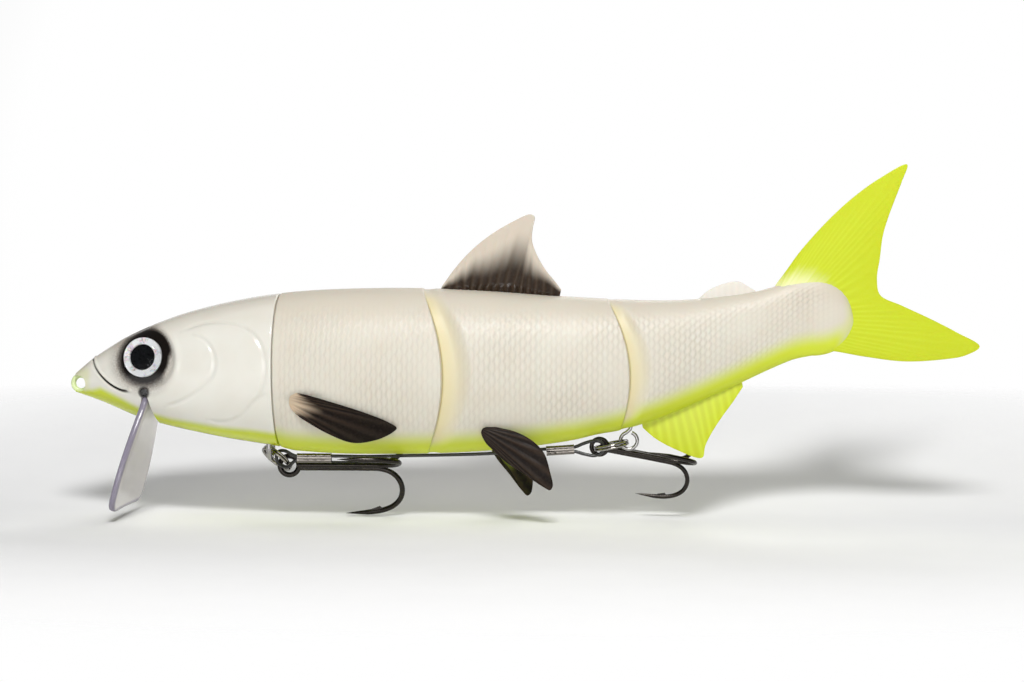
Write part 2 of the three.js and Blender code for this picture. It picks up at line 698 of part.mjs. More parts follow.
/** The coated wire, with a loop closed by a crimp at each end. */
const LEADER_ROUTE = [
  [64.0, 0, -21.15], [60.6, 0, -21.15], [59.7, 0, -21.7], [58.5, 0, -22.9], [56.8, 0.4, -23.0],
  [55.2, 0.9, -22.0], [54.8, 0.95, -20.4], [55.4, 0.85, -18.9], [57.2, 0.2, -18.6], [60.2, 0, -19.95],
  [65.0, 0, -20.0], [70.4, 0, -19.95], [80.0, 0, -20.0], [91.0, 0, -19.7], [103.0, 0, -19.4],
  [115.0, 0, -18.9], [124.0, 0, -18.1], [130.0, 0, -17.57], [137.6, 0, -17.02], [140.2, 0, -16.0],
  [142.6, 0, -15.3], [144.8, 0, -15.5], [145.8, 0, -16.8], [145.2, 0, -18.4], [143.2, 0, -19.3],
  [140.4, 0, -18.9], [137.6, 0, -18.18], [134.5, 0, -18.40],
];
const CRIMP = { tall: 2.75, wide: 1.75, bore: 1.3 };

/** A flat oval sleeve round the two strands, from one end to the other. */
function crimp(from, to) {
  const oval = (tall, wide) => {
    const shape = new THREE.Shape();
    const side = (tall - wide) / 2;
    shape.absarc(side, 0, wide / 2, -Math.PI / 2, Math.PI / 2);
    shape.absarc(-side, 0, wide / 2, Math.PI / 2, (3 * Math.PI) / 2);
    return shape;
  };
  const start = new THREE.Vector3(...from);
  const end = new THREE.Vector3(...to);
  const length = start.distanceTo(end);
  const outer = new THREE.ExtrudeGeometry(oval(CRIMP.tall, CRIMP.wide), {
    depth: length, curveSegments: 6, bevelEnabled: false,
  });
  const inner = new THREE.ExtrudeGeometry(oval(CRIMP.tall - CRIMP.wide + CRIMP.bore, CRIMP.bore), {
    depth: length + 2, curveSegments: 6, bevelEnabled: false,
  });
  const dip = Math.atan2(start.z - end.z, end.x - start.x);
  const made = solid(outer).subtract(solid(inner.translate(0, 0, -1)));
  return made.rotate([0, 90, 0]).rotate([0, THREE.MathUtils.radToDeg(dip), 0]).translate(from);
}

// ---- The whole lure ----

add("through_wire", throughWire(), STEEL);
headShells();
eyes();
add("diving_lip", divingLip(), CLEAR);
add("head_ballast", ballast(), LEAD);
add("coupling_plug", couplingPlug(), NYLON);
add("coupling_pin", crosswise(COUPLING.x, COUPLING.z, PIN_RADIUS, -6.6, 6.6, 16), STEEL);
add("front_spine_link", frontLink(), NYLON);
add("middle_spine_link", middleLink(), NYLON);
add("tail_spine_link", tailLink(), NYLON);
add("front_hinge_pin", hingePin(JOINT_1, SPINE_1.z - EAR_REACH - GAP, SPINE_1.z + EAR_REACH + GAP), STEEL);
add("rear_hinge_pin", rearHingePin(), STEEL);
add("front_body", frontBody(), SOFT);
add("middle_body", middleBody(), SOFT);
add("tail_body", tailBody(), SOFT);
add("pectoral_fin_left", pectoralFin(-1), DARK_FIN);
add("pectoral_fin_right", pectoralFin(1), DARK_FIN);
add("dorsal_fin", dorsalFin(), DARK_FIN);
add("pelvic_fin_left", pelvicFin(-1, 10, 0, 0), DARK_FIN);
add("pelvic_fin_right", pelvicFin(1, 10, 20, 1.5), DARK_FIN);
add("adipose_fin", adiposeFin(), CREAM_FIN);
add("anal_fin", analFin(), CHARTREUSE);
add("tail_fin", tailFin(), CHARTREUSE);
add("front_split_ring", splitRing(FRONT_RING.centre, FRONT_RING.axis), STEEL);
add("front_treble_hook", placedTreble(FRONT_HOOK, 1), BLACK_NICKEL);
add("rear_split_ring", splitRing(REAR_RING.centre, REAR_RING.axis), STEEL);
add("rear_treble_hook", placedTreble(REAR_HOOK, REAR_HOOK_SCALE), BLACK_NICKEL);
add("leader_wire", wire(LEADER_ROUTE, LEADER_WIRE, 80), COATED);
add("front_crimp_sleeve", crimp([60.8, 0, -20.58], [70.4, 0, -20.55]), STEEL);
add("rear_crimp_sleeve", crimp([130.0, 0, -18.15], [137.6, 0, -17.6]), STEEL);

export default group;
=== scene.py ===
"""The looks of the jointed swimbait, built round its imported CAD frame.

Sizes are in millimetres in the lure's own frame: +X from the nose to the tail, -Y out of its left side,
+Z up, with the origin in the middle of the line-tie eye. Meshes are scaled to metres as they are made.
"""

import math

import bpy
import numpy as np
from mathutils import Matrix, Vector


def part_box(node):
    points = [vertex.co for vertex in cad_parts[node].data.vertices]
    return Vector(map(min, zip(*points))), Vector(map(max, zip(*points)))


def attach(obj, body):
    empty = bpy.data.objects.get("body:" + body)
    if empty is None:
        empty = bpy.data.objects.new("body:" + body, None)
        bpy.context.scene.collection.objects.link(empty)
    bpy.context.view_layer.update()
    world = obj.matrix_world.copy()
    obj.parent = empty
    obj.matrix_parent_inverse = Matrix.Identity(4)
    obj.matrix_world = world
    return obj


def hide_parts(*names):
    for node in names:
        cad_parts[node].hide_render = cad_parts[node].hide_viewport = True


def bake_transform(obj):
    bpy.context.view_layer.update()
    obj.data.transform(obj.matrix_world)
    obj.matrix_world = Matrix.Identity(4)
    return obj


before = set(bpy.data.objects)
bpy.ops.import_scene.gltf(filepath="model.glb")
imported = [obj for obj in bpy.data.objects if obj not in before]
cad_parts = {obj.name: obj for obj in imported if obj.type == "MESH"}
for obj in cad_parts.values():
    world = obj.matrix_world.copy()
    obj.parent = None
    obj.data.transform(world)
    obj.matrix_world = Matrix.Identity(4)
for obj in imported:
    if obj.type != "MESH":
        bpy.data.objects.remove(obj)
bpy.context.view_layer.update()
MM = 0.001


def low(node):
    return np.array(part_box(node)[0]) / MM


def high(node):
    return np.array(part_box(node)[1]) / MM


# ---- Driving dimensions ----

HEAD_END = high("head_shell_left")[0]
SKIN_GAP = 0.2  # the seam between the hard head and the soft body
MID_SPLIT = 128.0  # where the front and middle skins meet, clear of both joints
TAIL_SPLIT = 178.0  # where the middle and tail skins meet
LOBE_START = 202.0  # where the stalk starts to round off
PEDUNCLE_END = 213.4  # the rounded end of the stalk, lying on the tail fin

# Outlines of the body from the side and from above, as [x, value].
BACK = [
    [-1.6, 2.6], [4, 7.2], [15, 13.8], [32, 20.3], [56, 25.1], [84, 26.6], [110, 26.1],
    [140, 24.1], [165, 23.4], [186, 25.6], [197, 28.6], [203, 29.8],
]
BELLY = [
    [-1.6, -2.4], [6, -5.0], [18, -9.8], [38, -14.4], [56, -17.3], [61, -18.4], [80, -19.2], [112, -18.2],
    [140, -14.6], [158, -9.9], [176, -2.4], [196, 6.9], [203, 8.6],
]
HALF_WIDTH = [
    [-1.6, 2.3], [4, 4.8], [15, 9.0], [32, 12.6], [56, 14.8], [80, 15.0], [103, 14.1],
    [130, 12.0], [155, 9.3], [178, 5.6], [203, 2.3],
]

# The crescent grooves: where the sharp edge stands, its middle height, the radius of its arc in side view,
# and how deep and how long the hollow behind it is.
GROOVES = [
    {"lip": 102.5, "z": 2.6, "arc": 48.0, "depth": 1.9, "fade": 8.5},
    {"lip": 152.9, "z": 2.4, "arc": 39.0, "depth": 1.3, "fade": 6.5},
]
HOOK_DENT = 0.4  # depth of a shallow hollow in the belly over the rear hook's eye
HOOK_DENT_X = 144.0

# For two bodies that share a piece, the x at which it would leave the first and the x at which it would have
# joined the second; no piece is bent by them.
BENDS = {
    ("head", "middle"): (96, 110),
    ("middle", "tail"): (148, 161),
    ("tail", "fin"): (191, 206),
}

SCALE_STEP = 1.38  # from one column of scales to the next
SCALE_RISE = 0.22  # height of a scale's rear edge
GIRTH_RADIUS = 17.5  # turns an angle round the body into a distance over its skin
SKIN_SIDES = 300

EYE = {"x": 20.1, "z": 7.6, "y": 8.35, "radius": 5.45, "pitch": 0.16, "yaw": 0.14}
PUPIL_RADIUS = 3.52
ORBIT = 9.0  # radius of the raised rim round the eye
LIP_NOTCH = (20.25, -1.9)  # the round end of the slot that the lip is pushed into

HOOK_WIRE = 1.5
REAR_HOOK_SCALE = 0.826
RING_RADIUS = 4.5
RING_WIRE = (0.425, 0.355)  # half the split ring's wire, across and along its axis
TIE_RADIUS = 2.13
TIE_WIRE = (0.68, 0.74)  # half the painted line-tie wire, across and along its axis
LEADER_WIRE = 0.93

rng = np.random.default_rng(7)

# ---- Curves and meshes ----


def profile(points):
    """A smooth curve through [x, value] points, read at an array of x."""
    p = np.array(points, float)
    inner = (p[2:, 1] - p[:-2, 1]) / (p[2:, 0] - p[:-2, 0])
    first = (p[1, 1] - p[0, 1]) / (p[1, 0] - p[0, 0])
    last = (p[-1, 1] - p[-2, 1]) / (p[-1, 0] - p[-2, 0])
    slope = np.concatenate([[first], inner, [last]])

    def read(x):
        x = np.asarray(x, float)
        i = np.clip(np.searchsorted(p[:, 0], x) - 1, 0, len(p) - 2)
        h = p[i + 1, 0] - p[i, 0]
        t = np.clip((x - p[i, 0]) / h, 0, 1)
        rise = t * t * (3 - 2 * t)
        start = t * (1 - t) ** 2 * h * slope[i]
        end = t * t * (t - 1) * h * slope[i + 1]
        return p[i, 1] + (p[i + 1, 1] - p[i, 1]) * rise + start + end

    return read


back = profile(BACK)
belly = profile(BELLY)
half_width = profile(HALF_WIDTH)


def ease(low_edge, high_edge, x):
    """0 below low_edge, 1 above high_edge, smooth between; the edges may be the other way round."""
    t = np.clip((np.asarray(x, float) - low_edge) / (high_edge - low_edge), 0, 1)
    return t * t * (3 - 2 * t)


def spline(corners, count, closed=False):
    """Points along a smooth curve through corners (centripetal Catmull-Rom), evenly spaced."""
    c = np.array(corners, float)
    if closed:
        c = np.vstack([c[-1], c, c[0], c[1]])
    else:
        c = np.vstack([2 * c[0] - c[1], c, 2 * c[-1] - c[-2]])
    made = []
    for i in range(1, len(c) - 2):
        p = c[i - 1 : i + 3]
        k = np.concatenate([[0], np.cumsum(np.linalg.norm(np.diff(p, axis=0), axis=1) ** 0.5)])
        t = np.linspace(k[1], k[2], 24, endpoint=False)[:, None]
        a = [((k[j + 1] - t) * p[j] + (t - k[j]) * p[j + 1]) / (k[j + 1] - k[j]) for j in range(3)]
        b = [((k[j + 2] - t) * a[j] + (t - k[j]) * a[j + 1]) / (k[j + 2] - k[j]) for j in range(2)]
        made.append(((k[2] - t) * b[0] + (t - k[1]) * b[1]) / (k[2] - k[1]))
    made.append(c[-2:-1] if not closed else made[0][:1])
    fine = np.vstack(made)
    run = np.concatenate([[0], np.cumsum(np.linalg.norm(np.diff(fine, axis=0), axis=1))])
    at = np.linspace(0, run[-1], count)
    return np.stack([np.interp(at, run, fine[:, k]) for k in range(c.shape[1])], axis=1)


def build(name, points, faces, material, sharp=40):
    """A closed mesh object from points in millimetres, smooth but for edges over sharp degrees."""
    mesh = bpy.data.meshes.new(name)
    mesh.from_pydata((np.asarray(points, float) * MM).tolist(), [], [list(map(int, f)) for f in faces])
    mesh.validate()
    mesh.update()
    mesh.shade_smooth()
    mesh.set_sharp_from_angle(angle=math.radians(sharp))
    mesh.materials.append(material)
    made = bpy.data.objects.new(name, mesh)
    bpy.context.scene.collection.objects.link(made)
    return made


def tube_faces(rings, sides, first=0, wrap=False):
    """Quads between consecutive rings of points."""
    r = np.arange(rings if wrap else rings - 1)[:, None]
    k = np.arange(sides)[None, :]
    a = r * sides + k
    b = r * sides + (k + 1) % sides
    up = ((r + 1) % rings) * sides
    quads = np.stack([a, b, up + (k + 1) % sides, up + k], axis=-1)
    return (quads.reshape(-1, 4) + first).tolist()


def loft(rings, first=0):
    """Points and faces of a closed skin over rings (n, sides, 3), with a fan over each end."""
    n, sides, _ = rings.shape
    points = np.vstack([rings.reshape(-1, 3), rings[0].mean(0), rings[-1].mean(0)])
    faces = tube_faces(n, sides, first)
    for k in range(sides):
        after = (k + 1) % sides
        faces.append([first + n * sides, first + after, first + k])
        start = first + (n - 1) * sides
        faces.append([first + n * sides + 1, start + k, start + after])
    return points, faces


def join(parts):
    """Several (points, faces) as one."""
    points, faces, count = [], [], 0
    for p, f in parts:
        points.append(p)
        faces.extend([[i + count for i in face] for face in f])
        count += len(p)
    return np.vstack(points), faces


def sweep(path, radius, sides=20, section=None, wrap=False):
    """A round wire along path; radius is one number or one for each point. section gives other shapes."""
    path = np.asarray(path, float)
    n = len(path)
    if wrap:
        along = np.roll(path, -1, 0) - np.roll(path, 1, 0)
    else:
        along = np.gradient(path, axis=0)
    along /= np.linalg.norm(along, axis=1)[:, None]
    side = np.cross(along[0], [0.13, 0.24, 0.96] if abs(along[0][2]) < 0.9 else [0.1, 1, 0.05])
    rings = []
    turn = np.linspace(0, 2 * np.pi, sides, endpoint=False)
    flat = np.stack([np.cos(turn), np.sin(turn)], 1) if section is None else np.asarray(section)
    radius = np.broadcast_to(np.asarray(radius, float), (n,))
    for i in range(n):
        side = side - along[i] * (side @ along[i])
        side /= np.linalg.norm(side)
        up = np.cross(along[i], side)
        rings.append(path[i] + radius[i] * (flat[:, :1] * side + flat[:, 1:] * up))
    rings = np.array(rings)
    if wrap:
        return rings.reshape(-1, 3), tube_faces(n, len(flat), wrap=True)
    return loft(rings)


def mark(obj, name, values):
    """Stores one number for each vertex, which a material reads as an attribute."""
    layer = obj.data.attributes.new(name, "FLOAT", "POINT")
    layer.data.foreach_set("value", np.asarray(values, np.float32).ravel())


def vertices(obj):
    co = np.zeros(len(obj.data.vertices) * 3, np.float32)
    obj.data.vertices.foreach_get("co", co)
    return co.reshape(-1, 3).astype(float) / MM


def cut(obj, *cutters):
    """Takes the cutters out of obj and removes them."""
    for cutter in cutters:
        step = obj.modifiers.new("cut", "BOOLEAN")
        step.operation = "DIFFERENCE"
        step.solver = "EXACT"
        step.object = cutter
    graph = bpy.context.evaluated_depsgraph_get()
    made = bpy.data.meshes.new_from_object(obj.evaluated_get(graph))
    obj.modifiers.clear()
    old = obj.data
    obj.data = made
    bpy.data.meshes.remove(old)
    for cutter in cutters:
        bpy.data.objects.remove(cutter)
    obj.data.shade_smooth()
    obj.data.set_sharp_from_angle(angle=math.radians(40))


def bend(obj, a, b):
    """Bakes obj's placement into its mesh. The bodies a and b are not used."""
    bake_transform(obj)


# ---- Materials ----


def new_material(name, color, roughness, **sockets):
    """A Principled material and its node tree. Constant values sit on the shader's own sockets."""
    made = bpy.data.materials.new(name)
    made.use_nodes = True
    shader = made.node_tree.nodes["Principled BSDF"]
    shader.inputs["Base Color"].default_value = (*color, 1)
    shader.inputs["Roughness"].default_value = roughness
    for socket, value in sockets.items():
        shader.inputs[socket.replace("_", " ")].default_value = value
    return made


def node(made, kind, **settings):
    found = made.node_tree.nodes.new(kind)
    for key, value in settings.items():
        if hasattr(found, key):
            setattr(found, key, value)
        else:
            found.inputs[key.replace("_", " ")].default_value = value
    return found


def link(made, source, target):
    made.node_tree.links.new(source, target)


def shader_of(made):
    return made.node_tree.nodes["Principled BSDF"]


def attribute(made, name):
    return node(made, "ShaderNodeAttribute", attribute_name=name).outputs["Fac"]


def noise(made, scale, detail=3.0):
    """Noise over the lure's own coordinates, in cells per metre."""
    place = node(made, "ShaderNodeTexCoord").outputs["Object"]
    texture = node(made, "ShaderNodeTexNoise", Scale=scale, Detail=detail)
    link(made, place, texture.inputs["Vector"])
    return texture.outputs["Fac"]


def ramp(made, source, *stops):
    """A colour ramp; each stop is (position, colour) with the colour as a number or as three."""
    found = node(made, "ShaderNodeValToRGB")
    elements = found.color_ramp.elements
    while len(elements) < len(stops):
        elements.new(0.5)
    for element, (position, color) in zip(elements, stops):
        element.position = position
        element.color = (*(color if hasattr(color, "__len__") else (color,) * 3), 1)
    link(made, source, found.inputs["Fac"])
    return found.outputs["Color"]


def times(made, a, b):
    found = node(made, "ShaderNodeMath", operation="MULTIPLY")
    link(made, a, found.inputs[0])
    if hasattr(b, "node"):
        link(made, b, found.inputs[1])
    else:
        found.inputs[1].default_value = b
    return found.outputs[0]


def mix(made, share, a, b):
    """Colour a with b over it by share; a and b are sockets or plain colours."""
    found = node(made, "ShaderNodeMix", data_type="RGBA")
    for socket, value in ((found.inputs[0], share), (found.inputs[6], a), (found.inputs[7], b)):
        if hasattr(value, "node"):
            link(made, value, socket)
        else:
            socket.default_value = value if socket == found.inputs[0] else (*value, 1)
    return found.outputs[2]


def bump(made, height, distance, strength):
    found = node(made, "ShaderNodeBump", Strength=strength, Distance=distance)
    link(made, height, found.inputs["Height"])
    link(made, found.outputs["Normal"], shader_of(made).inputs["Normal"])


CHARTREUSE = (0.58, 0.66, 0.022)
PEARL = (0.66, 0.63, 0.54)
CREAM = (0.60, 0.54, 0.44)
RECESS = (0.68, 0.60, 0.36)
SCALE_CREASE_SHADE = (0.38, 0.33, 0.27)  # painted shade in the crease behind a scale
LIP_SHADE = (0.42, 0.34, 0.12)  # painted shade in the line under a crescent's sharp edge
DARK = (0.006, 0.004, 0.003)
SOOT = (0.10, 0.065, 0.050)  # the thin outer spray round the eye
FIN_ROOT_SHADE = (0.06, 0.045, 0.03)
# Painted shade along the clear lip's edges and ends, where it looks smoke-grey.
LIP_EDGE_SHADE = (0.36, 0.33, 0.42)


def head_paint():
    made = new_material("head_paint", PEARL, 0.2, Coat_Weight=0.3, Coat_Roughness=0.08,
                        Specular_IOR_Level=0.35, Subsurface_Weight=0.05, Subsurface_Scale=0.002)
    cloud = ramp(made, noise(made, 90), (0.35, (0.745, 0.73, 0.665)), (0.65, (0.715, 0.695, 0.625)))
    color = mix(made, attribute(made, "cream"), cloud, CREAM)
    color = mix(made, attribute(made, "green"), color, CHARTREUSE)
    dark = attribute(made, "dark")
    speckle = ramp(made, noise(made, 2600, 4), (0.35, 0.55), (0.62, 1.0))
    color = mix(made, times(made, dark, speckle), color, SOOT)
    color = mix(made, ramp(made, dark, (0.5, 0.0), (0.95, 1.0)), color, DARK)
    # The line mask darkens along the mouth groove, and puts painted shade in the gill grooves and round the
    # lip's slot.
    color = mix(made, attribute(made, "line"), color, DARK)
    link(made, color, shader_of(made).inputs["Base Color"])
    rough = ramp(made, noise(made, 500), (0.3, 0.16), (0.7, 0.24))
    link(made, rough, shader_of(made).inputs["Roughness"])
    return made


def skin_paint():
    made = new_material("skin_paint", PEARL, 0.46, Coat_Weight=0.05, Coat_Roughness=0.25,
                        Subsurface_Weight=0.12, Subsurface_Scale=0.002)
    cloud = ramp(made, noise(made, 110), (0.3, (0.66, 0.63, 0.54)), (0.55, (0.645, 0.605, 0.515)),
                 (0.75, (0.63, 0.585, 0.49)))
    color = mix(made, attribute(made, "cream"), cloud, CREAM)
    # The edge mask is painted shade in the crease behind each scale.
    color = mix(made, attribute(made, "edge"), color, SCALE_CREASE_SHADE)
    color = mix(made, attribute(made, "green"), color, CHARTREUSE)
    color = mix(made, attribute(made, "recess"), color, RECESS)
    # Painted shade under each crescent's sharp edge.
    color = mix(made, attribute(made, "lip_edge_shade"), color, LIP_SHADE)
    streak = ramp(made, noise(made, 900, 4), (0.35, 0.4), (0.65, 1.0))
    color = mix(made, times(made, attribute(made, "dark"), streak), color, FIN_ROOT_SHADE)
    link(made, color, shader_of(made).inputs["Base Color"])
    rough = ramp(made, noise(made, 700), (0.3, 0.42), (0.7, 0.54))
    link(made, rough, shader_of(made).inputs["Roughness"])
    bump(made, noise(made, 2200, 4), 0.00004, 0.4)
    return made


def fin_paint(name, light, dark, ray_highlight, see_through=0.0):
    """Fin rubber, from light to dark by the vertex attribute tone, with fine streaks of painted highlight
    along the rays.
    """
    made = new_material(name, light, 0.38, Coat_Weight=0.02, Coat_Roughness=0.2,
                        Specular_IOR_Level=0.08, Subsurface_Weight=0.1,
                        Subsurface_Scale=0.0015, Transmission_Weight=see_through)
    tone = attribute(made, "tone")
    grain = ramp(made, noise(made, 1500, 5), (0.3, 0.985), (0.6, 1.0))
    color = mix(made, times(made, tone, grain), light, dark)
    # A painted highlight along the ridge of each ray.
    color = mix(made, times(made, attribute(made, "ridge"), 0.5), color, ray_highlight)
    link(made, color, shader_of(made).inputs["Base Color"])
    rough = ramp(made, noise(made, 900), (0.3, 0.3), (0.7, 0.48))
    link(made, rough, shader_of(made).inputs["Roughness"])
    bump(made, noise(made, 3000, 4), 0.00003, 0.4)
    return made


def metal(name, color, roughness, wear=0.12):
    made = new_material(name, color, roughness, Metallic=1.0)
    shade = ramp(made, noise(made, 900, 4), (0.3, tuple(c * (1 - wear) for c in color)), (0.7, color))
    link(made, shade, shader_of(made).inputs["Base Color"])
    rough = ramp(made, noise(made, 2600, 3), (0.3, roughness * 0.7), (0.75, roughness * 1.4))
    link(made, rough, shader_of(made).inputs["Roughness"])
    bump(made, noise(made, 4000, 3), 0.00001, 0.3)
    return made


def plain(name, color, roughness, **sockets):
    """A moulded or coated surface with a little variation of tone, gloss and relief."""
    made = new_material(name, color, roughness, **sockets)
    shade = ramp(made, noise(made, 400, 4), (0.3, tuple(c * 0.85 for c in color)), (0.7, color))
    link(made, shade, shader_of(made).inputs["Base Color"])
    rough = ramp(made, noise(made, 1600, 3), (0.3, roughness * 0.8), (0.7, min(1, roughness * 1.25)))
    link(made, rough, shader_of(made).inputs["Roughness"])
    bump(made, noise(made, 3000, 3), 0.00002, 0.3)
    return made


def foil_paint():
    """Silver foil with small coloured glints."""
    made = new_material("eye_foil", (0.8, 0.82, 0.83), 0.3, Metallic=0.3)
    cells = node(made, "ShaderNodeTexVoronoi", Scale=2600.0)
    link(made, node(made, "ShaderNodeTexCoord").outputs["Object"], cells.inputs["Vector"])
    tint = node(made, "ShaderNodeHueSaturation", Saturation=0.35, Value=1.0)
    link(made, cells.outputs["Color"], tint.inputs["Color"])
    patches = ramp(made, noise(made, 330, 2), (0.46, 0.0), (0.58, 0.9))
    color = mix(made, patches, (0.86, 0.88, 0.89), tint.outputs["Color"])
    link(made, color, shader_of(made).inputs["Base Color"])
    bump(made, cells.outputs["Distance"], 0.00005, 0.5)
    return made


def clear_plastic(name, color, roughness, **sockets):
    made = new_material(name, color, roughness, **sockets)
    rough = ramp(made, noise(made, 300, 3), (0.3, roughness * 0.6), (0.75, roughness * 1.5))
    link(made, rough, shader_of(made).inputs["Roughness"])
    return made


def lip_plastic():
    """Clear moulded plastic, slightly milky, its white partly a painted reflection of the white
    surroundings; painted shade along its edges, where it looks smoke-grey.
    """
    made = clear_plastic("lip_plastic", (0.93, 0.92, 0.93), 0.12, Transmission_Weight=0.38, IOR=1.46)
    # The milky colour is partly a painted reflection of the white surroundings.
    milk_and_reflection = ramp(made, noise(made, 120, 3), (0.3, (0.97, 0.93, 0.935)), (0.7, (0.93, 0.89, 0.90)))
    color = mix(made, attribute(made, "rim"), milk_and_reflection, LIP_EDGE_SHADE)
    link(made, color, shader_of(made).inputs["Base Color"])
    return made


HEAD_PAINT = head_paint()
SKIN_PAINT = skin_paint()
# The fourth colour of each fin paint is the painted highlight along its rays.
BLACK_FIN = fin_paint("black_fin", (0.54, 0.42, 0.30), (0.007, 0.004, 0.003), (0.045, 0.027, 0.017))
DORSAL_FIN = fin_paint("dorsal_fin_rubber", (0.62, 0.55, 0.455), (0.022, 0.012, 0.006), (0.08, 0.05, 0.028),
                       0.1)
CREAM_FIN = fin_paint("cream_fin", (0.80, 0.77, 0.69), (0.74, 0.70, 0.62), (0.80, 0.77, 0.69), 0.1)
GREEN_FIN = fin_paint("green_fin", (0.90, 0.90, 0.52), CHARTREUSE, (0.80, 0.94, 0.10), 0.1)
FOIL = foil_paint()
PUPIL = plain("pupil_black", (0.004, 0.004, 0.005), 0.3, Specular_IOR_Level=0.1)
CORNEA = clear_plastic("eye_resin", (1, 1, 1), 0.02, Transmission_Weight=1.0, IOR=1.3, Alpha=0.4)
CLEAR = lip_plastic()
TIE_PAINT = plain("tie_paint", (0.72, 0.84, 0.42), 0.25, Coat_Weight=0.5, Coat_Roughness=0.08)
STEEL = metal("wire_steel", (0.42, 0.41, 0.40), 0.22)
RING_STEEL = metal("ring_steel", (0.36, 0.34, 0.32), 0.14)
BLACK_NICKEL = metal("black_nickel", (0.045, 0.040, 0.036), 0.24)
CRIMP = metal("crimp_metal", (0.22, 0.20, 0.18), 0.16)
COATED = plain("coated_wire", (0.010, 0.010, 0.009), 0.32, Coat_Weight=0.3)
NYLON = plain("spine_nylon", (0.45, 0.46, 0.48), 0.5)
LEAD = plain("cast_lead", (0.25, 0.26, 0.28), 0.55, Metallic=0.7)

# ---- Body surface ----


def section(x, turn, grow=0.0):
    """Points (y, z) of the body's cross-sections at x, and their outward directions."""
    top = back(x) + grow
    bottom = belly(x) - grow
    w = half_width(x) + grow
    waist = (top + bottom) / 2
    tall = (top - bottom) / 2
    across, up = np.sin(turn), np.cos(turn)
    y = w * np.sign(across) * np.abs(across) ** 0.95
    z = waist + tall * up
    out_y, out_z = across / w, up / tall
    size = np.hypot(out_y, out_z)
    return y, z, out_y / size, out_z / size


def side_y(x, z, grow=0.0):
    """How far the flank stands out from the middle plane at x and z."""
    top, bottom = back(x) + grow, belly(x) - grow
    up = np.clip((z - (top + bottom) / 2) / ((top - bottom) / 2), -1, 1)
    return (half_width(x) + grow) * np.sqrt(1 - up**2) ** 0.95


def scales(x, girth):
    """Height of overlapping scales with rounded rear edges, and a mask of the crease behind each edge, where
    shade is painted.

    Scales stand in columns SCALE_STEP apart, every other column half a scale lower.
    """
    column = np.floor(x / SCALE_STEP)
    radius = 1.48 * SCALE_STEP
    far = []
    for ahead in (1, 0):
        at = column - ahead
        shift = (at % 2) * SCALE_STEP
        row = np.round((girth - shift) / (2 * SCALE_STEP)) * 2 * SCALE_STEP + shift
        far.append(np.hypot(x - at * SCALE_STEP, girth - row))
    over = ease(radius + 0.22, radius - 0.22, far[0])
    height = (over * far[0] + (1 - over) * far[1] * 0.8) / radius
    crease = np.exp(-(((far[0] - radius - 0.22) / 0.28) ** 2))
    return height, crease


def groove(station, z, height):
    """Depth of the crescents, how much of the pale hollow shows, and the shade under the sharp edge."""
    depth = np.zeros(np.broadcast(station, z).shape)
    bare = np.zeros_like(depth)
    line = np.zeros_like(depth)
    for g in GROOVES:
        d = station - g["lip"]
        fade = np.clip(np.sin(np.pi * np.clip(height, 0.01, 0.99)), 0, 1) ** 0.55
        reach = g["fade"] * (0.35 + 0.65 * fade)
        drop = ease(-0.30, 0.30, d)
        rise = 1 - ease(0.4, 1.0, d / reach)
        depth += g["depth"] * fade * drop * np.where(d > 0.4 * reach, rise, 1)
        shown = ease(-0.05, 0.15, d) * (1 - ease(0.0, 1.1, d / reach))
        bare += shown * ease(0.02, 0.10, height) * ease(1.0, 0.93, height)
        line += np.exp(-(((d - 0.22) / 0.22) ** 2)) * fade * 0.55
    return depth, np.clip(bare, 0, 1), np.clip(line, 0, 1)


def arc_shift(station, z):
    """How far the crescents' arcs move a point of the grid forward, so that its lines follow them."""
    total = 0.0
    for g in GROOVES:
        sag = g["arc"] - np.sqrt(g["arc"] ** 2 - np.clip(z - g["z"], -30, 30) ** 2)
        ahead = ease(g["lip"] - 24, g["lip"] - 3, station)
        behind = ease(g["lip"] + 24, g["lip"] + 9, station)
        total = total - sag * ahead * behind
    return total


def stations(start, end, step):
    """Places along the body: even, with more either side of each crescent's edge."""
    places = list(np.linspace(start, end, int(round((end - start) / step)) + 1))
    for g in GROOVES:
        if start < g["lip"] - 2 and g["lip"] + 2 < end:
            places = [p for p in places if abs(p - g["lip"]) > 0.62]
            places += [g["lip"] + d for d in (-0.6, -0.42, -0.3, -0.2, -0.1, 0, 0.1, 0.2, 0.3, 0.42, 0.6)]
    return np.array(sorted(places))


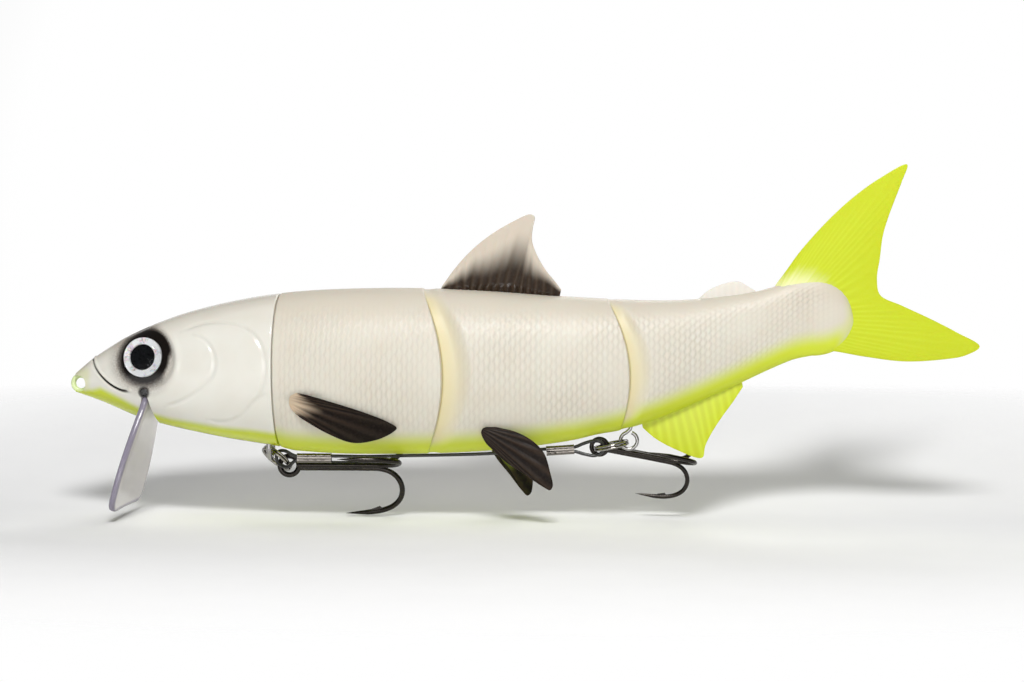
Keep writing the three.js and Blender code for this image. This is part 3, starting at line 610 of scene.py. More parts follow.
def skin(name, start, end, bodies, node_name, round_start=False):
    """One stretch of the soft body: scales, crescents and painted masks."""
    s = stations(start, end, 0.4)[:, None]
    turn = np.linspace(0, 2 * np.pi, SKIN_SIDES, endpoint=False)[None, :]
    _, z, _, _ = section(s, turn)
    x = s + arc_shift(s, z)
    y, z, out_y, out_z = section(x, turn)
    height = (z - belly(x)) / (back(x) - belly(x))
    girth = (turn - np.pi * (turn > np.pi) * 2) * GIRTH_RADIUS
    depth, bare, line = groove(s, z, height)
    flank = ease(0.06, 0.22, height) * ease(0.97, 0.80, height)
    quiet = (1 - bare) * ease(HEAD_END, HEAD_END + 3, x) * ease(212, 198, x)
    height_of, crease = scales(x, np.abs(girth))
    worn = 0.66 + 0.34 * np.sin(x * 0.19 + 1.0) * np.cos(np.abs(girth) * 0.16 + x * 0.05)
    relief = (0.25 + 0.75 * flank) * quiet * worn
    rise = SCALE_RISE * height_of * relief - depth
    if round_start:
        rise = rise - 0.45 * (1 - np.sqrt(1 - (1 - np.clip((s - start) / 0.5, 0, 1)) ** 2))
    over_hook = np.exp(-(((x - HOOK_DENT_X) / 4.5) ** 2)) * ease(7.5, 5.5, np.abs(y)) * (z < 0)
    rise = rise - HOOK_DENT * over_hook
    y = y + rise * out_y
    z = z + rise * out_z
    points = np.stack([np.broadcast_to(x, y.shape), y, z], axis=-1)
    made = build(name, *loft(points), SKIN_PAINT)
    p = vertices(made)
    # The edge mask is painted shade in the creases behind the scales.
    rings = {"recess": bare, "lip_edge_shade": line, "edge": 0.42 * crease * flank * relief}
    for key, values in rings.items():
        mark(made, key, np.concatenate([np.broadcast_to(values, y.shape).ravel(), [0, 0]]))
    above = p[:, 2] - belly(p[:, 0])
    high_share = above / (back(p[:, 0]) - belly(p[:, 0]))
    mark(made, "green", ease(8.0, 2.2, above) * ease(213.6, 208, p[:, 0]) + 0.5 * ease(210, 214, p[:, 0]))
    mark(made, "cream", ease(0.62, 1.0, high_share) * 0.75 + 0.4 * ease(186, 204, p[:, 0]))
    root = np.hypot((p[:, 0] - 65.5) / 7.5, (p[:, 2] + 2.6) / 3.0)
    mark(made, "dark", ease(1.0, 0.2, root) * 0.4 * (np.abs(p[:, 1]) > 3))
    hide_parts(node_name)
    bend(made, *bodies)


def peduncle():
    """The rear skin ends in a rounded lobe that lies over the root of the tail fin.

    The body's outlines are swapped for rounded ones while it is made, and put back after.
    """
    global back, belly, half_width
    held = back, belly, half_width
    top, bottom, wide = (outline(LOBE_START) for outline in held)
    centre = (top + bottom) / 2 - 1.5

    def share(x):
        past = np.clip((x - LOBE_START) / (PEDUNCLE_END - LOBE_START), 0, 0.995)
        return np.sqrt(np.clip(1 - past**2.2, 0, 1))

    def round_back(x):
        return np.where(x < LOBE_START, held[0](x), centre + (top - centre) * share(x))

    def round_belly(x):
        return np.where(x < LOBE_START, held[1](x), centre + (bottom - centre) * share(x))

    def round_width(x):
        return np.where(x < LOBE_START, held[2](x), wide * (0.25 + 0.75 * share(x)))

    back, belly, half_width = round_back, round_belly, round_width
    skin("tail_skin", TAIL_SPLIT, PEDUNCLE_END, ("tail", "fin"), "tail_body")
    back, belly, half_width = held


skin("front_skin", HEAD_END + SKIN_GAP, MID_SPLIT, ("head", "middle"), "front_body", round_start=True)
skin("middle_skin", MID_SPLIT, TAIL_SPLIT, ("middle", "tail"), "middle_body")
peduncle()

# ---- Head ----

MOUTH = [[3.6, 7.4], [4.2, 6.4], [6.2, 3.6], [9.4, 0.6], [13.0, -1.3], [15.9, -1.8]]
GILL = [
    [30.4, 14.6], [34.2, 16.4], [39.2, 17.4], [44.0, 17.2], [48.4, 16.0], [51.8, 13.8], [54.2, 9.8],
    [54.9, 5.4], [54.2, 0.6], [52.4, -3.2], [49.6, -5.4],
]
CHEEK = [
    [34.2, 14.0], [37.4, 12.9], [39.8, 10.2], [40.8, 6.8], [40.0, 3.2], [37.6, 0.2], [34.2, -2.4],
    [30.2, -4.5], [25.8, -5.8],
]
THROAT = [[54.8, -1.6], [51.8, -3.6], [49.2, -6.4], [45.6, -9.0], [41.2, -9.9], [37.6, -9.2]]


def distance_to(path, x, z):
    """Distance in side view from points to a curve, and how far along it the nearest point is."""
    best = np.full(x.shape, 1e9)
    along = np.zeros(x.shape)
    for i in range(len(path) - 1):
        a, b = path[i], path[i + 1]
        d = b - a
        t = np.clip(((x - a[0]) * d[0] + (z - a[1]) * d[1]) / (d @ d), 0, 1)
        far = np.hypot(x - a[0] - t * d[0], z - a[1] - t * d[1])
        along = np.where(far < best, (i + t) / (len(path) - 1), along)
        best = np.minimum(best, far)
    return best, along


def line_depth(path, x, z, width, depth):
    """A rounded groove along a curve, shallower towards both ends."""
    far, along = distance_to(path, x, z)
    return depth * ease(width, 0, far) * ease(0, 0.08, along) * ease(1, 0.92, along)


def eye_axes(side):
    """Centre of the eye's seat and the direction that it looks in."""
    p, w = EYE["pitch"], EYE["yaw"]
    look = np.array([-math.sin(w) * math.cos(p), side * math.cos(w) * math.cos(p), math.sin(p)])
    return np.array([EYE["x"], side * EYE["y"], EYE["z"]]), look


def head_half(side):
    """One painted shell: a lofted half with mouth, gill lines, eye socket and lip slot."""
    word = "left" if side < 0 else "right"
    x = np.concatenate([np.arange(-1.2, 22, 0.22), np.arange(22, HEAD_END - 0.5, 0.42),
                        HEAD_END - np.array([0.4, 0.3, 0.2, 0.1, 0.04, 0.0])])[:, None]
    turn = np.linspace(0, np.pi, 170)[None, :]
    y, z, out_y, out_z = section(x, turn)
    mouth, gill, cheek, throat = (spline(c, 60) for c in (MOUTH, GILL, CHEEK, THROAT))
    low_x, low_z = np.broadcast_to(x, y.shape), z
    sink = line_depth(mouth, low_x, low_z, 0.75, 0.8) * (y > 0.8)
    sink = sink + line_depth(gill, low_x, low_z, 0.8, 0.30)
    sink = sink + line_depth(cheek, low_x, low_z, 0.9, 0.28)
    sink = sink + line_depth(throat, low_x, low_z, 0.8, 0.2)
    centre = eye_axes(1)[0]
    around = np.hypot(low_x - centre[0] - 0.4, low_z - centre[2] + 0.2)
    behind = np.arctan2(low_z - centre[2], low_x - centre[0])
    weight = 0.25 + 0.75 * ease(-0.2, 0.9, np.cos(behind + 0.45))
    sink = sink + 0.75 * ease(ORBIT + 0.15, ORBIT - 0.85, around) * weight * (y > 1)
    sink = sink - 0.22 * np.exp(-(((around - ORBIT - 0.7) / 0.8) ** 2)) * weight * (y > 1)
    lip_over = 0.35 * ease(0.9, 0.1, distance_to(mouth + [0.15, 0.55], low_x, low_z)[0]) * (y > 0.8)
    round_end = 0.4 * (1 - np.sqrt(1 - np.clip(1 - (HEAD_END - x) / 0.4, 0, 1) ** 2))
    rise = lip_over - sink - round_end
    y = np.maximum(y + rise * out_y, 0)
    z = z + rise * out_z
    y[:, [0, -1]] = 0
    points = np.stack([low_x, side * (y + 0.03), z], axis=-1)
    if side > 0:
        points = points[:, ::-1]
    made = build("head_" + word, *loft(points), HEAD_PAINT)
    cut(made, *head_cutters(side))
    paint_head(made, mouth, (gill, cheek, throat))
    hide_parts("head_shell_" + word)
    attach(made, "head")


def prism(name, outline, y0, y1):
    """A plate from a side-view outline in x and z."""
    o = np.array(outline, float)
    n = len(o)
    points = [[px, y, pz] for y in (y0, y1) for px, pz in o]
    faces = [list(range(n))[::-1], list(range(n, 2 * n))]
    faces += [[k, (k + 1) % n, n + (k + 1) % n, n + k] for k in range(n)]
    return build(name, points, faces, CLEAR)


def disc_points(radius, count=64):
    turn = np.linspace(0, 2 * np.pi, count, endpoint=False)
    return np.stack([radius * np.cos(turn), radius * np.sin(turn)], 1)


def head_cutters(side):
    """The nose seat, the keyhole slot for the lip and the eye's seat."""
    seat = prism("seat", disc_points(2.3)[::-1], -20, 20)
    hole = disc_points(1.15, 40) + LIP_NOTCH
    slot = prism("slot", [[20.9, -2.2], [19.6, -2.2], [16.4, -16], [23.9, -16]], -20, 20)
    keyhole = prism("keyhole", hole[::-1], -20, 20)
    centre, look = eye_axes(side)
    path = centre + np.outer([0.15, 7.0], look)
    socket = build("socket", *sweep(path, 5.6, 72), CLEAR)
    for cutter in (seat, slot, keyhole, socket):
        face_out(cutter)
    return seat, slot, keyhole, socket


def face_out(obj):
    """Turns every face of a closed mesh outwards."""
    import bmesh

    work = bmesh.new()
    work.from_mesh(obj.data)
    bmesh.ops.recalc_face_normals(work, faces=work.faces)
    work.to_mesh(obj.data)
    work.free()


def paint_head(obj, mouth, lines):
    """Masks for the chartreuse jaw, the airbrushed eye surround with a painted highlight on the orbit's rim,
    the dark mouth line, and painted shade in the gill, cheek and throat grooves and round the lip's slot.
    """
    p = vertices(obj)
    x, z = p[:, 0], p[:, 2]
    above = z - belly(x)
    band = np.interp(x, [2, 7, 14, 20, 27, 40, 56], [1.6, 4.6, 4.2, 3.4, 2.9, 3.7, 4.6])
    jaw = ease(band + 1.0, band - 1.2, above + 0.1 * np.sin(x * 0.35))
    mark(obj, "green", np.clip(jaw + 0.25 * ease(4.6, 2.6, x) * ease(5.6, 3.0, z), 0, 1))
    mark(obj, "cream", ease(0.72, 1.05, above / (back(x) - belly(x))) * 0.55)
    dx, dz = x - EYE["x"] - 0.1, z - EYE["z"] + 0.1
    r = np.hypot(dx, dz)
    upper = np.clip(np.cos(np.arctan2(dz, dx) - 0.6), 0, 1)
    cloud = ease(11.8 - 2.1 * upper, 5.6 + 1.9 * upper, r)
    # A painted highlight where the orbit's rim catches the light on its lower rear side, taken out of the
    # dark surround.
    band = ease(-0.9, -0.4, np.arctan2(dz, dx)) * ease(0.35, -0.1, np.arctan2(dz, dx))
    light = 0.35 * np.exp(-(((r - 7.7) / 0.7) ** 2)) * band
    mark(obj, "dark", np.clip(cloud - light, 0, 1) * (np.abs(p[:, 1]) > 0.6))
    far, along = distance_to(mouth, x, z)
    dark_line = ease(0.42, 0.16, far) * ease(1.0, 0.9, along) * (np.abs(p[:, 1]) > 0.8)
    # Faint painted shade in the gill, cheek and throat grooves.
    soft = sum(0.05 * ease(0.6, 0.1, distance_to(path, x, z)[0]) for path in lines)
    # Painted shade round the rounded end of the lip's slot.
    corner = 0.9 * ease(2.0, 1.3, np.hypot(x - LIP_NOTCH[0], z - LIP_NOTCH[1]))
    mark(obj, "line", np.clip(dark_line + soft + corner, 0, 1))


for flank_side in (-1, 1):
    head_half(flank_side)

# ---- Eyes ----


def turned(profile_points, centre, look, sides=72):
    """A body turned about an axis, from [radius, distance along] points that start and end on it."""
    look = look / np.linalg.norm(look)
    side = np.cross(look, [0, 0, 1.0])
    side /= np.linalg.norm(side)
    up = np.cross(side, look)
    turn = np.linspace(0, 2 * np.pi, sides, endpoint=False)
    circle = np.cos(turn)[:, None] * side + np.sin(turn)[:, None] * up
    rings = np.array([centre + d * look + max(r, 1e-3) * circle for r, d in profile_points])
    return loft(rings)


def eye(side):
    word = "left" if side < 0 else "right"
    centre, look = eye_axes(side)
    radius = EYE["radius"]
    iris = [[0, 0.3], [radius, 0.3], [radius, 1.25], [radius - 0.15, 1.4], [3.6, 1.22], [0, 1.2]]
    arc = np.linspace(0, np.pi / 2, 14)
    bead = [[(radius - 0.08) * math.cos(a), 1.52 + 1.75 * math.sin(a)] for a in arc]
    pupil_arc = [[PUPIL_RADIUS * math.cos(a), 1.28 + 0.16 * math.sin(a)] for a in arc]
    pupil = [[0, 1.22], [PUPIL_RADIUS, 1.24], *pupil_arc]
    cornea = [[0, 1.46], [radius - 0.3, 1.46], *bead]
    shapes = {
        "iris_" + word: (iris, FOIL, "eye_foil", "eye_iris_" + word),
        "pupil_" + word: (pupil, PUPIL, "eye_foil", None),
        "cornea_" + word: (cornea, CORNEA, "eye_resin", "eye_dome_" + word),
    }
    for name, (outline, material, slot, stands_for) in shapes.items():
        made = build(name, *turned(outline, centre, look), material)
        face_out(made)
        if stands_for:
            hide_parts(stands_for)
        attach(made, "head")


for flank_side in (-1, 1):
    eye(flank_side)

# ---- Diving lip ----

LIP = {"top": (20.25, -3.4), "thickness": 2.2, "length": 32.2, "tilt": 0.265, "neck": 9.0, "foot": 16.0}


def lip_half_width(d):
    """Half the plate's width at a distance d down from its top."""
    down = LIP["length"]
    round_top = np.sqrt(np.clip(1 - (1 - np.clip(d / 3.5, 0, 1)) ** 2, 0, 1))
    round_foot = np.sqrt(np.clip(1 - (1 - np.clip((down - d) / 4.5, 0, 1)) ** 2.2, 0, 1))
    w = LIP["neck"] + (LIP["foot"] - LIP["neck"]) * np.sin(np.pi / 2 * np.clip((d - 3) / 22, 0, 1))
    return w * (0.72 + 0.28 * round_top) * (0.66 + 0.34 * round_foot)


def diving_lip():
    """The clear plate: rounded edges, a raised rim on its back and a slightly cupped foot."""
    half = LIP["thickness"] / 2
    d = np.concatenate([[0, 0.05, 0.15, 0.35, 0.7], np.arange(1.2, 31, 0.6),
                        LIP["length"] - np.array([0.9, 0.5, 0.2, 0.06, 0.0])])
    turn = np.linspace(0, 2 * np.pi, 96, endpoint=False)
    across = np.sign(np.cos(turn)) * np.abs(np.cos(turn)) ** 0.22
    through = np.sign(np.sin(turn)) * np.abs(np.sin(turn)) ** 0.6
    end = np.minimum(d, LIP["length"] - d)
    thin = half * np.sqrt(np.clip(1 - (1 - np.clip(end / 0.45, 0, 1)) ** 2, 0.08, 1))
    w = lip_half_width(d) - (half - thin) * 0.5
    cup = 0.7 * ease(10, 32, d)[:, None] * (across[None, :] ** 2 - 1)
    y = w[:, None] * across[None, :]
    thick = thin[:, None] * through[None, :] + cup * 0.6
    tilt = LIP["tilt"]
    x = LIP["top"][0] - d[:, None] * math.sin(tilt) + thick * math.cos(tilt)
    z = LIP["top"][1] - d[:, None] * math.cos(tilt) - thick * math.sin(tilt)
    made = build("diving_lip_plate", *loft(np.stack([x, y, z], -1)), CLEAR, sharp=50)
    face_out(made)
    # The rim mask carries painted shade along the plate's edges and ends.
    rim = np.maximum(ease(0.90, 0.97, np.abs(across))[None, :], ease(1.4, 0.6, end)[:, None])
    mark(made, "rim", np.concatenate([rim.ravel(), [1, 1]]))
    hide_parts("diving_lip")
    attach(made, "head")


diving_lip()

# ---- Fins ----


def blade(base, edge, root, rim, rays, rib, beads=0, count=190, rows=60):
    """A ribbed fin between a base line and an outer edge, both given as [x, z] corners.

    Returns points for its two faces as (2, rows, count, 3), flat in y, and the ray and reach of each.
    """
    b, e = spline(base, count), spline(edge, count)
    t = np.linspace(0, 1, count)[None, :]
    r = (1 - (1 - np.linspace(0, 1, rows)) ** 1.15)[:, None]
    middle = b[None] * (1 - r[..., None]) + e[None] * r[..., None]
    ridge = (0.5 + 0.5 * np.cos(2 * np.pi * rays * t)) ** 1.5
    swell = root * (1 - r) ** 1.3 + rim
    across = np.gradient(middle, axis=1) * (count / rays)
    along = np.gradient(middle, axis=0)
    crowd = np.abs(across[..., 0] * along[..., 1] - across[..., 1] * along[..., 0])
    gap = crowd / np.maximum(np.linalg.norm(along, axis=-1), 1e-6)
    rib = rib * np.clip(gap / 1.6 - 0.2, 0, 1)
    half = swell + rib * (ridge - 0.3) * ease(0, 0.12, r) * ease(1.0, 0.8, r)
    if beads:
        half = half + 0.55 * np.abs(np.sin(np.pi * beads * t)) ** 0.7 * ease(0.13, 0.05, r)
    half = half * (0.25 + 0.75 * np.sqrt(1 - (2 * t - 1) ** 16)) * (0.45 + 0.55 * np.sqrt(1 - r**14))
    sheets = []
    for sign in (-1, 1):
        y = np.broadcast_to(sign * half, middle.shape[:2])
        sheets.append(np.stack([middle[..., 0], y, middle[..., 1]], -1))
    return np.array(sheets), np.broadcast_to(ridge, half.shape), np.broadcast_to(r, half.shape)


def close_blade(name, sheets, material, ridge, tone):
    """One closed mesh from a blade's two faces and the strips round its rim."""
    _, rows, count, _ = sheets.shape
    per = rows * count
    index = np.arange(per).reshape(rows, count)
    quads = np.stack([index[:-1, :-1], index[:-1, 1:], index[1:, 1:], index[1:, :-1]], -1).reshape(-1, 4)
    faces = quads.tolist() + (quads[:, ::-1] + per).tolist()
    loop = np.concatenate([index[0, :], index[1:, -1], index[-1, -2::-1], index[-2:0:-1, 0]])
    after = np.roll(loop, -1)
    faces += np.stack([after, loop, loop + per, after + per], -1).tolist()
    made = build(name, sheets.reshape(-1, 3), faces, material, sharp=60)
    face_out(made)
    # The ridge mask places the painted highlight along the rays.
    mark(made, "ridge", np.concatenate([ridge.ravel()] * 2))
    mark(made, "tone", np.concatenate([tone.ravel()] * 2))
    return made


def ray_noise(rays, count, amount):
    """A random offset for each ray, the same all along it."""
    knots = rng.uniform(-amount, amount, rays * 2 + 1)
    return np.interp(np.linspace(0, 1, count), np.linspace(0, 1, len(knots)), knots)[None, :]


def dorsal_fin():
    base = [[100.8, 25.9], [108, 26.0], [117, 25.7], [126, 25.0], [133.6, 24.4]]
    edge = [[101.2, 27.1], [105.2, 32.5], [109.6, 37.2], [114.6, 41.2], [120.5, 44.7], [125.4, 46.8],
            [126.7, 46.2], [126.2, 43.0], [126.0, 39.6], [127.4, 35.6], [129.6, 31.8], [132.2, 28.6],
            [134.0, 26.2]]
    sheets, ridge, reach = blade(base, edge, 0.75, 0.32, 15, 0.15, beads=17)
    count = reach.shape[1]
    line = 0.56 + ray_noise(15, count, 0.06) + 0.25 * ease(0.55, 1.0, np.linspace(0, 1, count))[None, :]
    # Between the rays the tone is a little darker, as a faint painted shade.
    tone = ease(line + 0.22, line - 0.34, reach) * (0.98 + 0.02 * (1 - ridge))
    made = close_blade("dorsal", sheets, DORSAL_FIN, ridge * tone * 0.6, tone)
    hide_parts("dorsal_fin")
    bend(made, "head", "middle")


def adipose_fin():
    base = [[171.0, 22.4], [176, 22.8], [181, 23.3], [186.4, 24.4]]
    edge = [[171.3, 23.7], [174.5, 26.3], [179.0, 28.1], [182.2, 28.5], [184.6, 27.3], [186.8, 26.0]]
    sheets, ridge, reach = blade(base, edge, 0.75, 0.25, 9, 0.06, count=110, rows=30)
    made = close_blade("adipose", sheets, CREAM_FIN, ridge, 1 - 0.6 * reach)
    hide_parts("adipose_fin")
    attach(made, "tail")


def anal_fin():
    base = [[156.0, -9.6], [162, -7.6], [169, -4.6], [176, -1.0], [183.0, 2.8]]
    edge = [[156.4, -11.6], [160.0, -14.6], [165.5, -17.5], [171.9, -19.8], [172.9, -19.4],
            [173.4, -16.6], [175.2, -12.8], [178.0, -8.4], [181.0, -4.2], [183.6, -0.2]]
    sheets, ridge, reach = blade(base, edge, 0.42, 0.26, 13, 0.09)
    made = close_blade("anal", sheets, GREEN_FIN, ridge * 0.6, 0.85 + 0.15 * reach)
    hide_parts("anal_fin")
    bend(made, "middle", "tail")


def pectoral_fin(side):
    """Lies on the flank, with its root flush with the skin and its free edge just off it."""
    word = "left" if side < 0 else "right"
    base = [[62.2, -6.6], [61.3, -4.6], [61.6, -2.4], [63.2, -1.4]]
    edge = [[64.2, -8.2], [71.2, -12.6], [77.8, -15.3], [84.4, -14.4], [89.0, -12.2], [90.2, -10.9],
            [88.0, -9.3], [82.4, -6.9], [74.2, -4.2], [66.4, -1.9]]
    sheets, ridge, reach = blade(base, edge, 0.1, 0.34, 9, 0.24)
    middle = sheets.mean(0)
    x, z = middle[..., 0], middle[..., 2]
    lift = 0.05 + 0.55 * ease(0, 0.5, reach) + 0.5 * ease(0.6, 1.0, reach)
    flank_y = side_y(x, z) + lift
    y = np.stack([flank_y - np.abs(sheets[0, ..., 1]), flank_y + np.abs(sheets[1, ..., 1])])
    sheets = np.stack([sheets[..., 0], side * y, sheets[..., 2]], -1)
    # Between the rays the tone is a little darker, as a faint painted shade.
    tone = ease(0.02, 0.34, reach + ray_noise(9, reach.shape[1], 0.06)) * (0.98 + 0.02 * (1 - ridge))
    made = close_blade("pectoral_" + word, sheets, BLACK_FIN, ridge * tone * ease(1.0, 0.35, reach), tone)
    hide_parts("pectoral_fin_" + word)
    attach(made, "head")


def pelvic_fin(side, splay, sweep, ahead):
    word = "left" if side < 0 else "right"
    base = [[113.4, -13.6], [113.0, -12.2], [113.4, -11.1], [114.6, -10.6]]
    edge = [[114.4, -15.2], [119.6, -20.0], [124.6, -23.2], [129.4, -26.4], [131.7, -27.5],
            [132.4, -26.4], [131.6, -22.4], [130.0, -17.6], [127.0, -14.4], [122.6, -12.0], [117.0, -10.6]]
    sheets, ridge, reach = blade(base, edge, 0.35, 0.34, 9, 0.26)
    hinge = np.array([114, side * 11.2, -12])
    turn = Matrix.Rotation(math.radians(side * splay), 3, "X") @ Matrix.Rotation(math.radians(sweep), 3, "Y")
    flat = sheets - [hinge[0], 0, hinge[2]]
    sheets = flat @ np.array(turn).T + hinge - [ahead, 0, 0]
    # Between the rays the tone is a little darker, as a faint painted shade.
    tone = 0.98 + 0.02 * (1 - ridge)
    if side > 0:
        tone = tone * ease(0.3, 0.7, reach)
    paint = BLACK_FIN if side < 0 else far_fin()
    made = close_blade("pelvic_" + word, sheets, paint, ridge * tone * 0.9, tone)
    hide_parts("pelvic_fin_" + word)
    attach(made, "middle")


def far_fin():
    # Its last colour is the painted highlight along the rays.
    return fin_paint("black_fin_green_root", (0.62, 0.80, 0.03), (0.008, 0.005, 0.004),
                     (0.060, 0.036, 0.024))


def tail_fin():
    base = [[191.8, 25.2], [196, 27.6], [201.5, 25.4], [204.5, 19.6], [203.0, 13.4], [199.0, 9.6]]
    edge = [[192.2, 27.5], [195.2, 31.6], [198.3, 36.0], [202.4, 40.9], [207.3, 46.1], [213.0, 51.3],
            [220.0, 56.4], [227.3, 60.1], [225.9, 55.4], [224.1, 50.6], [222.3, 45.6], [221.0, 41.0],
            [220.2, 34.6], [219.5, 29.2], [220.4, 24.9], [226.3, 22.0], [233.6, 18.6], [240.8, 14.9],
            [247.1, 11.0], [243.4, 8.6], [237.6, 7.5], [227.0, 6.9], [216.0, 8.2], [207.4, 9.6],
            [200.6, 8.9]]
    sheets, ridge, reach = blade(base, edge, 1.0, 0.32, 38, 0.07, count=560, rows=70)
    out = np.linalg.norm((sheets[0] - sheets[0, 0])[..., [0, 2]], axis=-1)
    tone = ease(-1.0, 7.5, out + 1.6 * ray_noise(38, out.shape[1], 0.5))
    made = close_blade("tail", sheets, GREEN_FIN, ridge * 0.3 * ease(0.9, 0.4, reach), tone)
    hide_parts("tail_fin")
    bend(made, "tail", "fin")


dorsal_fin()
adipose_fin()
anal_fin()
for flank_side in (-1, 1):
    pectoral_fin(flank_side)
pelvic_fin(-1, 10, 0, 0)
pelvic_fin(1, 10, 20, 1.5)
tail_fin()

# ---- Hooks ----

# One arm of a treble from its eye, as [along the shank, out from it] for a hook of unit scale.
ARM = [
    [2.2, 0.72], [10, 0.72], [20, 0.74], [25.8, 0.95], [28.7, 2.1], [30.6, 4.2], [31.4, 7.0], [30.8, 9.8],
    [28.9, 12.0], [25.6, 13.5], [21.7, 14.1], [18.5, 14.3], [15.2, 14.5],
]
HOOK_EYE = 2.65  # radius of the eye's wire ring
ARM_STEPS = 120
BARB_STEP = 101  # the point of an arm where its barb stands


def barb(point, along, out, wire):
    """A small wedge raised from the wire, pointing away from the tip."""
    across = np.cross(along, out)
    base = wire * 0.46
    shape = [(-0.5, 0.1, 0.3), (1.7, 0.2, 0.3), (1.3, 0.72, 0.08), (-0.2, 0.25, 0.3)]
    points = [point + a * along * wire + (o * wire + base * 0.6) * out + s * w * wire * across
              for s in (-1, 1) for a, o, w in shape]
    faces = [[0, 1, 2, 3], [7, 6, 5, 4], [0, 4, 5, 1], [1, 5, 6, 2], [2, 6, 7, 3], [3, 7, 4, 0]]
    return np.array(points), faces


def treble(name, scale, angles, at, dip, out, body, node_name):
    """A treble hook: an eye, three brazed wires with sharpened, barbed points."""
    wire = HOOK_WIRE * scale
    turn = np.linspace(0, 2 * np.pi, 72, endpoint=False)
    ring = np.stack([HOOK_EYE * scale * np.cos(turn), 0 * turn, HOOK_EYE * scale * np.sin(turn)], 1)
    parts = [sweep(ring, wire / 2, 20, wrap=True)]
    shank = np.stack([np.linspace(2.4, 20.5, 40) * scale, np.zeros(40), np.zeros(40)], 1)
    parts.append(sweep(shank, 1.12 * scale * np.linspace(1, 0.72, 40) ** 0.7, 24))
    flat = spline(np.array(ARM) * scale, ARM_STEPS)
    for degrees in angles:
        a = math.radians(degrees)
        away = np.array([0, math.cos(a), math.sin(a)])
        path = flat[:, :1] * [1, 0, 0] + flat[:, 1:] * away
        run = np.linspace(0, 1, ARM_STEPS)
        tip = np.clip((1 - run) / 0.13, 0.02, 1) ** 0.8
        parts.append(sweep(path, wire / 2 * tip, 20))
        along = path[BARB_STEP - 1] - path[BARB_STEP + 1]
        along /= np.linalg.norm(along)
        inward = -away - along * (-away @ along)
        parts.append(barb(path[BARB_STEP], along, inward / np.linalg.norm(inward), wire))
    points, faces = join(parts)
    place = Matrix.Rotation(math.radians(out), 3, "Z") @ Matrix.Rotation(math.radians(dip), 3, "Y")
    made = build(name, points @ np.array(place).T + at, faces, BLACK_NICKEL)
    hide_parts(node_name)
    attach(made, body)


treble("front_treble", 1.0, (167, 47, -73), (58.0, 3.2, -23.0), 0, 1.5, "front_hook", "front_treble_hook")
treble("rear_treble", REAR_HOOK_SCALE, (170, 50, -70), (144.5, 2.6, -17.1), 11, 5, "rear_hook",
       "rear_treble_hook")

# ---- Split rings, line tie and hangers ----


def split_ring(name, centre, axis, body, node_name):
    """Two flattened turns of wire, with a step where one passes over the other."""
    turn = np.linspace(0.05, 4 * np.pi - 0.05, 260)
    climb = 0.37 * np.tanh((turn - 2 * np.pi) / 0.22)
    path = np.stack([RING_RADIUS * np.cos(turn), climb, RING_RADIUS * np.sin(turn)], 1)
    oval = disc_points(1.0, 16) * RING_WIRE
    radial = path * [1, 0, 1] / RING_RADIUS
    rings = [path[i] + oval[:, :1] * radial[i] + oval[:, 1:] * np.array([0, 1, 0]) for i in range(len(path))]
    points, faces = loft(np.array(rings))
    spin = Vector((0, 1, 0)).rotation_difference(Vector(axis).normalized()).to_matrix()
    made = build(name, points @ np.array(spin).T + centre, faces, RING_STEEL)
    face_out(made)
    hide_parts(node_name)
    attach(made, body)


split_ring("front_ring_coils", (54.5, 3.4, -21.0), (0.528, 0.44, 0.726), "front_ring", "front_split_ring")
split_ring("rear_ring_coils", (147.8, 0, -16.45), (-0.208, 0, 0.978), "rear_ring", "rear_split_ring")


def line_tie():
    """The eye on the nose, thick with paint."""
    turn = np.linspace(0, 2 * np.pi, 96, endpoint=False)
    ring = np.stack([TIE_RADIUS * np.cos(turn), 0 * turn, TIE_RADIUS * np.sin(turn)], 1)
    oval = disc_points(1.0, 24)
    oval = np.sign(oval) * np.abs(oval) ** 0.75 * TIE_WIRE
    radial = ring / TIE_RADIUS
    axis = np.array([0, 1, 0])
    rings = np.array([p + oval[:, :1] * out + oval[:, 1:] * axis for p, out in zip(ring, radial)])
    made = build("line_tie_eye", rings.reshape(-1, 3), tube_faces(96, 24, wrap=True), TIE_PAINT)
    face_out(made)
    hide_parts("through_wire")
    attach(made, "head")


def belly_hanger():
    """The wire loop under the head that the front ring hangs from."""
    x, reach, middle, top = 53.4, 2.65, -18.0, -12.5
    arc = [[x, -reach * math.cos(a), middle - reach * math.sin(a)] for a in np.linspace(0, np.pi, 30)]
    path = np.array([[x, -reach, top], [x, -reach, (top + middle) / 2], *arc, [x, reach, (top + middle) / 2],
                     [x, reach, top]])
    made = build("belly_hanger", *sweep(spline(path, 90), 0.75, 24), STEEL)
    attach(made, "head")


def rear_hanger():
    """The hinge pin of the rear joint, whose lower end is bent into an eye."""
    x, z, radius, wire = 152.6, -15.1, 2.3, 1.0
    turn = np.linspace(math.pi / 2 + 0.1, 2.5 * math.pi - 0.35, 90)
    loop = np.stack([x + radius * np.cos(turn), 0.25 * (turn - 4.7) / 3, z + radius * np.sin(turn)], 1)
    pin_x = 153.6
    stem = np.array([[pin_x, 0, 11.5], [pin_x, 0, 0], [pin_x, 0, z + radius + 3.5],
                     [x + 0.4, 0, z + radius + 0.9]])
    path = np.vstack([spline(stem, 40), loop[3:]])
    made = build("rear_hanger", *sweep(path, wire / 2, 20), STEEL)
    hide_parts("rear_hinge_pin")
    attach(made, "middle")


line_tie()
belly_hanger()
rear_hanger()

# ---- Leader and crimps ----

